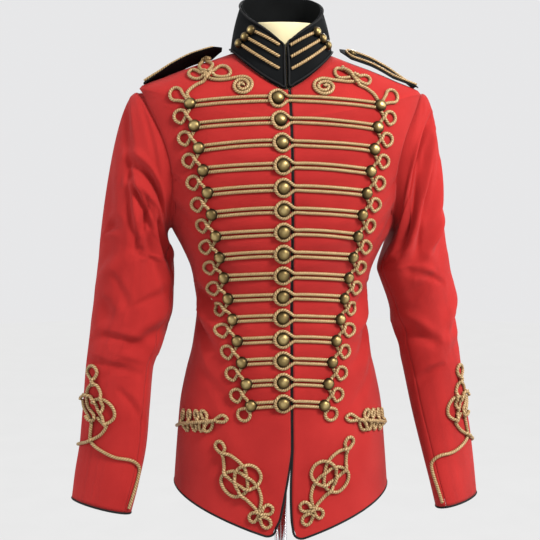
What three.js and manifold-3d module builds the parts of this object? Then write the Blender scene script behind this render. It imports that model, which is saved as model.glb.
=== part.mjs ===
// A hussar jacket of red drill with gold frogging, worn by a plain dress form on a pole and round base.
// Millimetres, +Z up, floor at z = 0, jacket front towards -Y, the wearer's left side towards +X.

import * as THREE from "three";
import { mergeVertices } from "three/addons/utils/BufferGeometryUtils.js";
import Module from "manifold-3d";

const wasm = await Module();
wasm.setup();

// ---- driving dimensions -------------------------------------------------------------------------------------

const CLOTH = 2;              // wall of the drill with its lining
const COLLAR_CLOTH = 2.6;     // wall of the stiffened collar
const SEAM = 0.3;             // clearance between two sewn pieces
const LAY = 1.2;              // clearance of what lies on a panel, over its facets
const CORD = 4.4;             // gold cord, across
const CORD_SIDES = 3;
const DIP = 0.85;             // how far a straight run of cord may sink towards the cloth
const NEAR = 14;
const NEIGHBOUR = 75;
const CORD_PAIR = 7.2;        // from middle to middle of the two cords of a row
const PIPING = 2.6;           // black piping, across
const PIPING_SECTION = 0.8 * PIPING;
const BEAD = PIPING / 2 + 0.35; // from a cloth's edge to the middle of its piping

const PIT = 1135;             // armhole, lowest level
const TIP = 1345;             // armhole, highest level, at the shoulder point
const NECK = 1401;            // level of the neck seam at the shoulder
const HEM = 724;              // level of the hem at the side seam
const ARMHOLE_TURN = 0.62;    // radians from the side seam to the armhole's widest point
const LEAN = 0.014;           // the jacket hangs a little lower on the wearer's left

const FRONT_EDGE = 6;         // the closed front edge, to the wearer's left of the middle
const BUTTON_LINE = -7;       // the middle row of buttons, on the right front
const ROWS = 15;
const ROW_TOP = 1335;         // the first row of frogging
const ROW_PITCH = 32.9;
const ROW_REACH = [142, 55];  // from the middle to the side buttons, first and last row
const ROW_DROP = [12, 4];     // how much lower the side buttons lie, first and last row
const BUTTON = { middle: 19.5, side: 17.5, collar: 13.5, strap: 15 };
const SIDE_LOOP = { out: 19.5, up: 16, radius: 7.4 };

const POLE = 21;              // pole of the dress form, across
const BASE_ACROSS = 400;
const BASE_HEIGHT = 14;
const FORM_LOW = 850;         // flat underside of the form's torso
const FORM_TOP = 1445;        // flat top of the form's neck

const RED = { color: 0xc5342f, roughness: 0.85, metalness: 0 };
const BLACK = { color: 0x17181a, roughness: 0.8, metalness: 0 };
const GOLD = { color: 0xb08d5a, roughness: 0.5, metalness: 0.4 };
const BRASS = { color: 0x6f5a30, roughness: 0.35, metalness: 1 };
const CREAM = { color: 0xefe6b8, roughness: 0.6, metalness: 0 };
const CHROME = { color: 0xc9ccd0, roughness: 0.15, metalness: 1 };

// Level sections of the body: half width, depth in front and behind, squareness of the ring, and how much of the
// neck's and the hem's own slopes each level takes.
const BODY = [
  { level: 724, half: 172, front: 129, back: 122, square: 2.15, neck: 0, hem: 1 },
  { level: 800, half: 166, front: 121, back: 117, square: 2.15, neck: 0, hem: 0.8 },
  { level: 853, half: 161, front: 116, back: 111, square: 2.15, neck: 0, hem: 0.55 },
  { level: 899, half: 152, front: 110, back: 103, square: 2.15, neck: 0, hem: 0.35 },
  { level: 948, half: 140, front: 105, back: 94, square: 2.2, neck: 0, hem: 0.15 },
  { level: 1012, half: 133, front: 101, back: 87, square: 2.2, neck: 0, hem: 0 },
  { level: 1065, half: 141, front: 105, back: 93, square: 2.2, neck: 0, hem: 0 },
  { level: 1100, half: 155, front: 110, back: 100, square: 2.2, neck: 0, hem: 0 },
  { level: 1135, half: 173, front: 113, back: 107, square: 2.25, neck: 0, hem: 0 },
  { level: 1190, half: 192, front: 114, back: 112, square: 2.35, neck: 0.05, hem: 0 },
  { level: 1250, half: 205, front: 110, back: 111, square: 2.4, neck: 0.22, hem: 0 },
  { level: 1305, half: 216, front: 100, back: 102, square: 2.25, neck: 0.5, hem: 0 },
  { level: 1328, half: 219, front: 95, back: 97, square: 2.1, neck: 0.66, hem: 0 },
  { level: 1345, half: 219, front: 90, back: 92, square: 2, neck: 0.78, hem: 0 },
  { level: 1363, half: 180, front: 85, back: 85, square: 2, neck: 0.86, hem: 0 },
  { level: 1378, half: 142, front: 79, back: 78, square: 2, neck: 0.92, hem: 0 },
  { level: 1391, half: 104, front: 73, back: 71, square: 2, neck: 0.97, hem: 0 },
  { level: 1401, half: 76, front: 66, back: 64, square: 2, neck: 1, hem: 0 },
];
const NECK_SLOPE = { front: -56, back: 20, curve: 1.4 };
const HEM_SLOPE = { front: -60, back: -12, curve: 1.1 };

// The largest creases of the body, from one angle and height to another: 90 degrees is the middle of the front,
// 0 the wearer's left side and 270 the middle of the back. Depth is negative for a trough.
const BODY_CREASES = [
  { from: 166, high: 1042, to: 146, low: 1010, width: 11, depth: -5 },
  { from: 168, high: 1018, to: 140, low: 984, width: 12, depth: 4 },
  { from: 172, high: 1000, to: 150, low: 958, width: 13, depth: -4 },
  { from: 14, high: 1046, to: 32, low: 1016, width: 11, depth: -4 },
  { from: 10, high: 1022, to: 36, low: 980, width: 12, depth: 4 },
  { from: 8, high: 990, to: 30, low: 952, width: 13, depth: -3.5 },
  { from: 190, high: 1040, to: 232, low: 1008, width: 13, depth: -5 },
  { from: 350, high: 1036, to: 306, low: 1002, width: 13, depth: -5 },
  { from: 194, high: 1004, to: 240, low: 976, width: 14, depth: 4 },
  { from: 344, high: 998, to: 298, low: 970, width: 14, depth: 4 },
  { from: 158, high: 1180, to: 139, low: 1120, width: 14, depth: -4 },
  { from: 22, high: 1184, to: 41, low: 1126, width: 14, depth: -4 },
  { from: 205, high: 1210, to: 222, low: 1120, width: 16, depth: -5 },
  { from: 335, high: 1206, to: 318, low: 1116, width: 16, depth: -5 },
];

// Rings of each sleeve below the armhole's blend: the ring's middle, its half length and half breadth, and the
// turn of its long axis, outwards and back.
const SLEEVES = {
  right: [
    { step: 0, x: 229, y: 2, z: 1085, long: 57, broad: 64, turn: 0 },
    { step: 0.16, x: 233, y: 0, z: 1025, long: 61, broad: 60, turn: 4 },
    { step: 0.3, x: 243, y: -6, z: 975, long: 58, broad: 54, turn: 10 },
    { step: 0.45, x: 256, y: -13, z: 920, long: 52, broad: 47, turn: 16 },
    { step: 0.62, x: 262, y: -22, z: 858, long: 53, broad: 41, turn: 22 },
    { step: 0.78, x: 268, y: -31, z: 798, long: 55, broad: 35, turn: 27 },
    { step: 0.9, x: 278, y: -37, z: 747, long: 55, broad: 32, turn: 30 },
    { step: 1, x: 287, y: -43, z: 703, long: 53, broad: 30, turn: 33 },
  ],
  left: [
    { step: 0, x: 213, y: 2, z: 1075, long: 57, broad: 64, turn: 0 },
    { step: 0.16, x: 227, y: 0, z: 1018, long: 51, broad: 60, turn: 6 },
    { step: 0.3, x: 235, y: -6, z: 965, long: 48, broad: 52, turn: 12 },
    { step: 0.45, x: 244, y: -13, z: 910, long: 46, broad: 44, turn: 20 },
    { step: 0.62, x: 254, y: -22, z: 848, long: 47, broad: 36, turn: 27 },
    { step: 0.78, x: 265, y: -31, z: 790, long: 50, broad: 30, turn: 36 },
    { step: 0.9, x: 274, y: -37, z: 740, long: 52, broad: 26, turn: 43 },
    { step: 1, x: 281, y: -42, z: 696, long: 51, broad: 25, turn: 48 },
  ],
};

// Creases of the sleeves, from one angle round the arm and way down it to another: 0 degrees is the outer side,
// 90 the front, 180 the side next to the body; a way of 0 is the armhole, 1 the blend's end and 2 the cuff.
const SLEEVE_CREASES = {
  right: [
    { from: 128, high: 0.45, to: 158, low: 0.98, width: 12, depth: -8 },
    { from: 96, high: 0.5, to: 116, low: 1.16, width: 12, depth: -5 },
    { from: 30, high: 1.08, to: 74, low: 1.0, width: 12, depth: 4 },
    { from: 118, high: 1.36, to: 176, low: 1.27, width: 12, depth: -6 },
    { from: 52, high: 1.2, to: 66, low: 1.3, width: 13, depth: -4 },
    { from: 205, high: 1.34, to: 262, low: 1.24, width: 14, depth: -6 },
    { from: 300, high: 1.05, to: 250, low: 1.2, width: 14, depth: -5 },
  ],
  left: [
    { from: 40, high: 0.2, to: 118, low: 0.62, width: 15, depth: -8 },
    { from: 44, high: 0.42, to: 92, low: 0.95, width: 13, depth: -6 },
    { from: 30, high: 0.85, to: 58, low: 1.02, width: 12, depth: -4 },
    { from: 66, high: 1.26, to: 22, low: 1.14, width: 13, depth: 5 },
    { from: 108, high: 1.34, to: 170, low: 1.28, width: 12, depth: -6 },
    { from: 205, high: 1.34, to: 262, low: 1.24, width: 14, depth: -6 },
    { from: 300, high: 1.05, to: 250, low: 1.2, width: 14, depth: -5 },
  ],
};

// The collar's top edge, by the angle round the neck: 90 degrees is the front, 0 the side and -90 the back.
const COLLAR_TOP = [
  { angle: -90, top: 1496, reach: 57 },
  { angle: -45, top: 1492, reach: 58.5 },
  { angle: 0, top: 1475, reach: 61 },
  { angle: 32, top: 1455, reach: 58.5 },
  { angle: 61, top: 1438, reach: 54 },
  { angle: 82, top: 1421, reach: 51 },
  { angle: 90, top: 1412, reach: 50 },
];
const COLLAR_OPENING = { at: 2, gap: 3 };

// The three braid stripes of each collar side: height on the collar at the front and at the button, as shares of
// its height, and the button's angle from the side.
const COLLAR_STRIPES = [
  { front: 0.87, end: 0.78, angle: 45 },
  { front: 0.62, end: 0.56, angle: 38 },
  { front: 0.37, end: 0.33, angle: 30 },
];

// Each strap, from the sleeve seam to its point by the collar: lift over the shoulder and its lean to the front.
const STRAP = { inner: 92, outer: 213, across: 40, point: 14, thick: 2.2 };
const STRAP_LIFT = [
  { share: 0, lift: 2.6 },
  { share: 0.3, lift: 7 },
  { share: 0.65, lift: 12 },
  { share: 1, lift: 11 },
];
const STRAP_LEAN = { right: 0.05, left: 0.28 };
const STRAP_SINK = { right: 0.9, left: 0 };

// Cords of the knots: points across and up, in millimetres, as the braider lays them.
const CHEST_KNOT = {
  spiral: { x: 62, z: 1353, turns: 2.3, radius: 13 },
  loops: [{ x: 88, z: 1375 }, { x: 112, z: 1385 }, { x: 134, z: 1370 }],
  middle: { x: 110, z: 1371 },
  loopRadius: 8,
  end: { x: 150, z: 1346 },
};
const HEM_KNOT = {
  top: { x: 96, z: 808, radius: 6.5 },
  rings: [{ x: 57, z: 765, radius: 19 }, { x: 79, z: 752, radius: 16.5 }],
  foot: { x: 41, z: 716 },
  trefoil: [{ x: 26, z: 713 }, { x: 29, z: 694 }, { x: 46, z: 700 }],
  loopRadius: 7,
};
const HIP_BRAID = { level: 838, from: 55, to: 12, loops: 4, loopRadius: 6, rise: 8 };
const SLEEVE_KNOT = { way: 1.64, turn: 66, lengthTop: 57, lengthFoot: 48 };

// ---- small helpers ------------------------------------------------------------------------------------------

const V = (x, y, z) => new THREE.Vector3(x, y, z);
const { lerp, clamp, degToRad } = THREE.MathUtils;
const steps = (count, make) => Array.from({ length: count }, (_, k) => make(k));
const between = (count, from, to) => steps(count, (k) => lerp(from, to, k / (count - 1)));

// A smooth, never overshooting curve through one named column of a table.
function column(table, key, name, at) {
  const last = table.length - 1;
  const value = clamp(at, Math.min(table[0][key], table[last][key]), Math.max(table[0][key], table[last][key]));
  let k = 0;
  while (k < last - 1 && value > table[k + 1][key]) k += 1;
  const slope = (i) => (table[i + 1][name] - table[i][name]) / (table[i + 1][key] - table[i][key]);
  const tangent = (i) => {
    if (i === 0) return slope(0);
    if (i === last) return slope(last - 1);
    const [a, b] = [slope(i - 1), slope(i)];
    return a * b <= 0 ? 0 : (2 * a * b) / (a + b);
  };
  const span = table[k + 1][key] - table[k][key];
  const t = (value - table[k][key]) / span;
  const [t2, t3] = [t * t, t * t * t];
  return (2 * t3 - 3 * t2 + 1) * table[k][name] + (t3 - 2 * t2 + t) * span * tangent(k)
    + (3 * t2 - 2 * t3) * table[k + 1][name] + (t3 - t2) * span * tangent(k + 1);
}

// How far soft creases move a point: x and y run over the cloth in millimetres.
function creased(creases, x, y) {
  let moved = 0;
  for (const { ax, ay, bx, by, width, depth } of creases) {
    const length2 = (bx - ax) ** 2 + (by - ay) ** 2;
    const t = clamp(((x - ax) * (bx - ax) + (y - ay) * (by - ay)) / length2, 0, 1);
    const away = Math.hypot(x - lerp(ax, bx, t), y - lerp(ay, by, t)) / width;
    moved += depth * Math.exp(-away * away) * (0.55 + 0.45 * Math.sin(Math.PI * t));
  }
  return moved;
}

// ---- the body's surface ------------------------------------------------------------------------------------

const bodyColumn = (name, level) => column(BODY, "level", name, level);
const BODY_SPREAD = 125;      // millimetres for a radian round the body
const bodyCreases = BODY_CREASES.map((c) => ({
  ax: degToRad(c.from) * BODY_SPREAD, ay: c.high,
  bx: degToRad(c.to) * BODY_SPREAD, by: c.low, width: c.width, depth: c.depth,
}));

function slopeAt(slope, angle) {
  const rise = Math.sin(angle) > 0 ? slope.front : slope.back;
  return rise * (1 - Math.abs(Math.cos(angle)) ** slope.curve);
}

// The middle of the cloth at a level and an angle, before creases: angle 0 is the left side, a quarter turn the
// middle of the front.
function plainBody(level, angle) {
  const [c, s] = [Math.cos(angle), Math.sin(angle)];
  const square = bodyColumn("square", level);
  const reach = (Math.abs(c) ** square + Math.abs(s) ** square) ** (-1 / square);
  const x = bodyColumn("half", level) * reach * c;
  const y = -bodyColumn(s > 0 ? "front" : "back", level) * reach * s;
  const rise = bodyColumn("neck", level) * slopeAt(NECK_SLOPE, angle)
    + bodyColumn("hem", level) * slopeAt(HEM_SLOPE, angle);
  return V(x, y, level + rise - LEAN * x);
}

function normalOf(surface, u, v, du, dv) {
  const along = surface(u + du, v).sub(surface(u - du, v));
  const across = surface(u, v + dv).sub(surface(u, v - dv));
  return along.cross(across).normalize();
}

const bodyNormal = (level, angle) => normalOf(plainBody, level, angle, 1.5, 0.02);

function bodyPoint(level, angle, lift = 0) {
  const turn = (angle + 4 * Math.PI) % (2 * Math.PI);
  const fold = creased(bodyCreases, turn * BODY_SPREAD, level);
  return plainBody(level, angle).addScaledVector(bodyNormal(level, angle), fold + lift);
}

// The level and angle on the front or back that lie at x and z.
function bodyAt(x, z, side = 1) {
  let level = z;
  let angle = Math.PI / 2;
  for (let k = 0; k < 24; k += 1) {
    const square = bodyColumn("square", level);
    const [c, s] = [Math.cos(angle), Math.sin(angle)];
    const reach = (Math.abs(c) ** square + Math.abs(s) ** square) ** (-1 / square);
    angle = side * Math.acos(clamp(x / (bodyColumn("half", level) * reach), -0.999, 0.999));
    level += 0.7 * (z - plainBody(level, angle).z);
  }
  return { level, angle };
}

const normalAt = (x, z) => {
  const { level, angle } = bodyAt(x, z);
  return bodyNormal(level, angle);
};
const frontPoint = (x, z, lift) => {
  const { level, angle } = bodyAt(x, z);
  return bodyPoint(level, angle, lift);
};

// ---- the armhole and the sleeves ---------------------------------------------------------------------------

const ARMHOLE_MIDDLE = (PIT + TIP) / 2;
const ARMHOLE_HALF = (TIP - PIT) / 2;
const ARMHOLE_STEPS = 10;     // panel rows beside an armhole; the ring of the sleeve has twice as many sides
const ARMHOLE_GAP = 0.7;      // inset of the sleeve's ring from the armhole's edge

// Half the armhole's opening, as an angle, at the height given by a turn from its top.
const armholeLevel = (turn, inset = 0) => ARMHOLE_MIDDLE + (ARMHOLE_HALF - inset) * Math.cos(turn);
const armholeAngle = (turn, inset = 0) => (ARMHOLE_TURN - inset / 100) * Math.sin(turn);

function sleeveRing(table, step) {
  const at = (name) => column(table, "step", name, step);
  const middle = V(at("x"), at("y"), at("z"));
  const ahead = Math.min(step + 0.01, 1);
  const next = (name) => column(table, "step", name, ahead) - column(table, "step", name, ahead - 0.02);
  const down = V(next("x"), next("y"), next("z")).normalize();
  const turn = degToRad(at("turn"));
  const long = V(Math.cos(turn), Math.sin(turn), 0);
  long.addScaledVector(down, -long.dot(down)).normalize();
  return { middle, down, long, broad: down.clone().cross(long), reach: [at("long"), at("broad")] };
}

function sleeveEnd(table, step, turn) {
  const { middle, long, broad, reach } = sleeveRing(table, step);
  return middle.addScaledVector(long, reach[0] * Math.cos(turn)).addScaledVector(broad, reach[1] * Math.sin(turn));
}

// The middle of a left sleeve's cloth: way 0 is the armhole, 1 the end of the blend, 2 the cuff.
function plainSleeve(table, way, turn) {
  if (way >= 1) return sleeveEnd(table, way - 1, turn);
  const start = plainBody(armholeLevel(turn, ARMHOLE_GAP), armholeAngle(turn, ARMHOLE_GAP));
  const end = sleeveEnd(table, 0, turn);
  const chord = start.distanceTo(end);
  const low = (1 - Math.cos(turn)) / 2;
  const out = V(0.9, -0.25 * Math.sin(turn), -0.15 - 0.1 * low).normalize();
  const down = sleeveRing(table, 0).down;
  const [w2, w3] = [way * way, way * way * way];
  return start.multiplyScalar(2 * w3 - 3 * w2 + 1)
    .addScaledVector(out, (w3 - 2 * w2 + way) * chord * lerp(0.33, 0.9, low))
    .addScaledVector(end, 3 * w2 - 2 * w3)
    .addScaledVector(down, (w3 - w2) * chord * lerp(0.6, 0.9, low));
}

const SLEEVE_SPREAD = 55;     // millimetres for a radian round the arm
const SLEEVE_WAY = { blend: 200, tube: 380 };
const wayLength = (way) => Math.min(way, 1) * SLEEVE_WAY.blend + Math.max(way - 1, 0) * SLEEVE_WAY.tube;
const sleeveCreases = {};
for (const [side, list] of Object.entries(SLEEVE_CREASES)) {
  sleeveCreases[side] = list.map((c) => ({
    ax: degToRad(c.from) * SLEEVE_SPREAD, ay: wayLength(c.high),
    bx: degToRad(c.to) * SLEEVE_SPREAD, by: wayLength(c.low), width: c.width, depth: c.depth,
  }));
}

function sleeveNormal(side, way, turn) {
  const surface = (w, t) => plainSleeve(SLEEVES[side], clamp(w, 0, 2), t);
  const normal = normalOf(surface, way, turn, 0.02, 0.04);
  const table = SLEEVES[side];
  const middle = way >= 1 ? sleeveRing(table, way - 1).middle : plainSleeve(table, way, turn + Math.PI);
  const out = plainSleeve(table, way, turn).sub(middle);
  return normal.dot(out) < 0 ? normal.negate() : normal;
}

const fadeIn = (way) => clamp(way / 0.3, 0, 1);

// A point of a sleeve's cloth, moved out by lift; the right sleeve is built on the left side and mirrored after.
function sleevePoint(side, way, turn, lift = 0) {
  const around = (turn + 4 * Math.PI) % (2 * Math.PI);
  const fold = creased(sleeveCreases[side], around * SLEEVE_SPREAD, wayLength(way)) * fadeIn(way);
  const blendOfNormals = clamp(way / 0.12, 0, 1);
  const normal = bodyNormal(armholeLevel(turn, ARMHOLE_GAP), armholeAngle(turn, ARMHOLE_GAP))
    .multiplyScalar(1 - blendOfNormals)
    .addScaledVector(sleeveNormal(side, way, turn), blendOfNormals).normalize();
  return plainSleeve(SLEEVES[side], way, turn).addScaledVector(normal, fold + lift);
}

// ---- solids from points --------------------------------------------------------------------------------------

function meshFrom(points, faces) {
  const geometry = new THREE.BufferGeometry();
  geometry.setAttribute("position", new THREE.Float32BufferAttribute(points.flatMap((p) => [p.x, p.y, p.z]), 3));
  geometry.setIndex(faces.flat());
  return outward(geometry);
}

function volumeOf(geometry) {
  const at = geometry.getAttribute("position");
  const index = geometry.getIndex();
  const corner = (k) => V().fromBufferAttribute(at, index.getX(k));
  let volume = 0;
  for (let k = 0; k < index.count; k += 3) volume += corner(k).dot(corner(k + 1).cross(corner(k + 2)));
  return volume / 6;
}

function outward(geometry) {
  if (volumeOf(geometry) >= 0) return geometry;
  const index = geometry.getIndex();
  for (let k = 0; k < index.count; k += 3) {
    const first = index.getX(k);
    index.setX(k, index.getX(k + 1));
    index.setX(k + 1, first);
  }
  return geometry;
}

const quad = (a, b, c, d) => [[a, b, c], [a, c, d]];

// A wall of cloth over a grid: outer and inner faces from pointAt(row, column, lift), closed round its edge.
function clothWall(rows, columns, thickness, pointAt) {
  const points = [];
  for (const lift of [thickness / 2, -thickness / 2]) {
    for (let r = 0; r < rows; r += 1) {
      for (let c = 0; c < columns; c += 1) points.push(pointAt(r, c, lift));
    }
  }
  const at = (side, r, c) => side * rows * columns + r * columns + c;
  const faces = [];
  for (let r = 0; r < rows - 1; r += 1) {
    for (let c = 0; c < columns - 1; c += 1) {
      faces.push(...quad(at(0, r, c), at(0, r, c + 1), at(0, r + 1, c + 1), at(0, r + 1, c)));
      faces.push(...quad(at(1, r, c), at(1, r + 1, c), at(1, r + 1, c + 1), at(1, r, c + 1)));
    }
  }
  for (let r = 0; r < rows - 1; r += 1) {
    faces.push(...quad(at(0, r, 0), at(0, r + 1, 0), at(1, r + 1, 0), at(1, r, 0)));
    faces.push(...quad(at(0, r + 1, columns - 1), at(0, r, columns - 1), at(1, r, columns - 1),
      at(1, r + 1, columns - 1)));
  }
  for (let c = 0; c < columns - 1; c += 1) {
    faces.push(...quad(at(0, 0, c + 1), at(0, 0, c), at(1, 0, c), at(1, 0, c + 1)));
    faces.push(...quad(at(0, rows - 1, c), at(0, rows - 1, c + 1), at(1, rows - 1, c + 1), at(1, rows - 1, c)));
  }
  return meshFrom(points, faces);
}

// A cord along points, each with the direction away from the cloth. Sides is the number of sides of its section.
function cordAlong(path, across, sides = 4, closed = false) {
  const points = [];
  const count = path.length;
  path.forEach(({ point, away }, k) => {
    const before = path[closed ? (k + count - 1) % count : Math.max(k - 1, 0)].point;
    const after = path[closed ? (k + 1) % count : Math.min(k + 1, count - 1)].point;
    const ahead = after.clone().sub(before).normalize();
    const side = ahead.clone().cross(away).normalize();
    const up = side.clone().cross(ahead);
    for (let s = 0; s < sides; s += 1) {
      const turn = (2 * Math.PI * (s + 0.5)) / sides - Math.PI / 2;
      const reach = across / 2 / Math.cos(Math.PI / sides) * (sides === 3 ? 0.72 : 1);
      points.push(point.clone().addScaledVector(side, reach * Math.cos(turn))
        .addScaledVector(up, reach * Math.sin(turn)));
    }
  });
  const faces = [];
  const links = closed ? count : count - 1;
  for (let k = 0; k < links; k += 1) {
    const [here, there] = [k * sides, ((k + 1) % count) * sides];
    for (let s = 0; s < sides; s += 1) {
      const next = (s + 1) % sides;
      faces.push(...quad(here + s, here + next, there + next, there + s));
    }
  }
  if (!closed) {
    const end = (count - 1) * sides;
    for (let s = 1; s < sides - 1; s += 1) {
      faces.push([0, s + 1, s], [end, end + s, end + s + 1]);
    }
  }
  return meshFrom(points, faces);
}

// Trim is laid on the cloth's own facets. Each facet is a corner and two edges.
const facetsOf = (...geometries) => geometries.flatMap((geometry) => {
  const at = geometry.getAttribute("position");
  const index = geometry.getIndex();
  return steps(index.count / 3, (k) => {
    const [a, b, c] = [0, 1, 2].map((i) => V().fromBufferAttribute(at, index.getX(3 * k + i)));
    return { a, ab: b.sub(a), ac: c.sub(a), middle: a.clone().addScaledVector(b, 1 / 3).addScaledVector(c, 1 / 3) };
  });
});

// How far a point must go along a direction to reach the outermost facet near it, or null with none there.
function riseTo(facets, point, away) {
  let rise = null;
  for (const { a, ab, ac } of facets) {
    const side = away.clone().cross(ac);
    const slant = ab.dot(side);
    if (Math.abs(slant) < 1e-9) continue;
    const from = point.clone().sub(a);
    const u = from.dot(side) / slant;
    if (u < 0 || u > 1) continue;
    const across = from.cross(ab);
    const v = away.dot(across) / slant;
    if (v < 0 || u + v > 1) continue;
    const t = ac.dot(across) / slant;
    if (Math.abs(t) < NEAR && (rise === null || t > rise)) rise = t;
  }
  return rise;
}

// The highest rise under a cord's breadth.
function riseUnder(facets, point, away, ahead, across) {
  const side = ahead.clone().cross(away).normalize();
  const rises = [-0.64, 0, 0.64]
    .map((share) => riseTo(facets, point.clone().addScaledVector(side, share * across), away))
    .filter((rise) => rise !== null);
  return rises.length ? Math.max(...rises) : null;
}

// Points to add between two points of a cord where the straight run would come too near the cloth.
function easedOver(facets, here, there, lift, across, depth) {
  const ahead = there.point.clone().sub(here.point);
  let worst = null;
  for (const t of [0.14, 0.3, 0.5, 0.7, 0.86]) {
    const away = here.away.clone().lerp(there.away, t).normalize();
    const point = here.point.clone().lerp(there.point, t);
    const rise = riseUnder(facets, point, away, ahead, across);
    const dip = rise === null ? 0 : rise + lift;
    if (dip > DIP && (worst === null || dip > worst.dip)) {
      worst = { dip, at: { point: point.addScaledVector(away, dip), away } };
    }
  }
  if (worst === null || depth === 0 || ahead.length() < 5) return [];
  return [...easedOver(facets, here, worst.at, lift, across, depth - 1), worst.at,
    ...easedOver(facets, worst.at, there, lift, across, depth - 1)];
}

// A cord laid on facets: its points are raised off them, and points are added where it would touch.
function laidCord(path, facets, across, closed = false) {
  const lift = LAY + 0.36 * across;
  const count = path.length;
  const near = facets.filter(({ middle }) => path.some(({ point }) => point.distanceTo(middle) < NEIGHBOUR));
  const placed = path.map(({ point, away }, k) => {
    const before = path[closed ? (k + count - 1) % count : Math.max(k - 1, 0)].point;
    const after = path[closed ? (k + 1) % count : Math.min(k + 1, count - 1)].point;
    const rise = riseUnder(near, point, away, after.clone().sub(before), across);
    return { point: point.clone().addScaledVector(away, lift + (rise ?? CLOTH / 2)), away };
  });
  const whole = placed.flatMap((here, k) => {
    if (k === count - 1 && !closed) return [here];
    return [here, ...easedOver(near, here, placed[(k + 1) % count], lift, across, 3)];
  });
  return cordAlong(whole, across, CORD_SIDES, closed);
}

function laidButton({ point, away }, facets, across, sides = 7) {
  const near = facets.filter(({ middle }) => point.distanceTo(middle) < NEIGHBOUR);
  const flat = new THREE.Quaternion().setFromUnitVectors(V(0, 0, 1), away);
  const rises = steps(9, (k) => {
    const turn = (k * Math.PI) / 4;
    const rim = k === 8 ? V() : V(Math.cos(turn), Math.sin(turn), 0).multiplyScalar(across / 2);
    return riseTo(near, rim.applyQuaternion(flat).add(point), away);
  }).filter((rise) => rise !== null);
  return domedButton(point.clone().addScaledVector(away, Math.max(...rises) + 0.4), away, across, sides);
}

// A domed button standing on a point, facing away from the cloth.
function domedButton(point, away, across, sides = 7) {
  const r = across / 2;
  const profile = [[0, 0], [r, 0], [r * 0.72, r * 0.62], [0, r * 0.86]];
  const geometry = new THREE.LatheGeometry(profile.map(([x, y]) => new THREE.Vector2(x, y)), sides);
  geometry.applyQuaternion(new THREE.Quaternion().setFromUnitVectors(V(0, 1, 0), away));
  geometry.translate(point.x, point.y, point.z);
  return welded(geometry);
}

function welded(geometry) {
  geometry.deleteAttribute("normal");
  geometry.deleteAttribute("uv");
  const merged = mergeVertices(geometry, 1e-3);
  const index = merged.getIndex().array;
  const kept = [];
  for (let k = 0; k < index.length; k += 3) {
    const [a, b, c] = [index[k], index[k + 1], index[k + 2]];
    if (a !== b && b !== c && c !== a) kept.push(a, b, c);
  }
  merged.setIndex(kept);
  return outward(merged);
}

function solidOf(geometry) {
  const merged = welded(geometry.clone());
  return new wasm.Manifold(new wasm.Mesh({
    numProp: 3,
    vertProperties: new Float32Array(merged.getAttribute("position").array),
    triVerts: new Uint32Array(merged.getIndex().array),
  }));
}

function geometryOf(solid) {
  const mesh = solid.getMesh();
  const geometry = new THREE.BufferGeometry();
  geometry.setAttribute("position", new THREE.BufferAttribute(new Float32Array(mesh.vertProperties), 3));
  geometry.setIndex(new THREE.BufferAttribute(new Uint32Array(mesh.triVerts), 1));
  return geometry;
}

// Joins solids into one; the join's slivers, under half a millimetre, are merged.
const SLIVER = 0.55;
const fused = (geometries) => geometryOf(geometries.map(solidOf)
  .reduce((whole, next) => whole.add(next)).asOriginal().simplify(SLIVER));

// ---- the object ---------------------------------------------------------------------------------------------

const jacket = new THREE.Group();

function piece(name, geometry, finish) {
  const mesh = new THREE.Mesh(geometry, new THREE.MeshStandardMaterial(finish));
  mesh.name = name;
  jacket.add(mesh);
  return mesh;
}

const mirrored = (geometry) => outward(geometry.clone().scale(-1, 1, 1));

// Fronts and backs: rows from hem to neck, with the armhole's rows shared by the sleeve's ring.
const HEM_ROWS = [HEM, HEM + 6, HEM + 16, 785, 843, 905, 958, 1008, 1055, 1100];
const ARM_TURNS = steps(ARMHOLE_STEPS + 1, (k) => Math.PI * (1 - k / ARMHOLE_STEPS));
const SHOULDER_ROWS = [1356, 1368, 1380, 1391, NECK];
const PANEL_ROWS = [
  ...HEM_ROWS.map((level) => ({ level, open: 0 })),
  ...ARM_TURNS.map((turn) => ({ level: armholeLevel(turn), open: armholeAngle(turn) })),
  ...SHOULDER_ROWS.map((level) => ({ level, open: 0 })),
];
const FRONT_COLUMNS = 8;
const BACK_COLUMNS = 5;
const HEM_CORNER = 16;

// How far the front edge stands from the middle at a height: the skirts part below the last row of frogging.
const SKIRT_OPENS = 838;
function frontEdge(side, level) {
  const parting = clamp((SKIRT_OPENS - level) / (SKIRT_OPENS - HEM), 0, 1);
  const sweep = side === "right" ? -25 * parting ** 1.1 : -3 * Math.sin(Math.PI * parting);
  return FRONT_EDGE + sweep + (side === "right" ? -2 : 2) * BEAD;
}

function edgeAngle(level, x) {
  return Math.acos(clamp(x / bodyColumn("half", level), -1, 1));
}

function cornerLift(level, fromEdge) {
  const near = clamp(1 - fromEdge / HEM_CORNER, 0, 1);
  const low = clamp(1 - (level - HEM) / (1.6 * HEM_CORNER), 0, 1);
  return HEM_CORNER * (1 - Math.sqrt(1 - near * near)) * low;
}

// The angle of a front's column: even from the side, then closer by the edge, where the corner is round.
function frontColumn(side, row, k) {
  const { level, open } = row;
  const half = bodyColumn("half", level);
  const edge = edgeAngle(level, frontEdge(side, level));
  const seam = side === "left" ? open + SEAM / 2 / bodyColumn("front", level)
    : Math.PI - open - SEAM / 2 / bodyColumn("front", level);
  const close = [13, 5, 0];
  const inward = side === "left" ? -1 : 1;
  const even = FRONT_COLUMNS - close.length;
  if (k > even) return { angle: edge + inward * close[k - even - 1] / half, fromEdge: close[k - even - 1] };
  const last = edge + inward * 28 / half;
  return { angle: lerp(seam, last, k / even), fromEdge: 99 };
}

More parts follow.
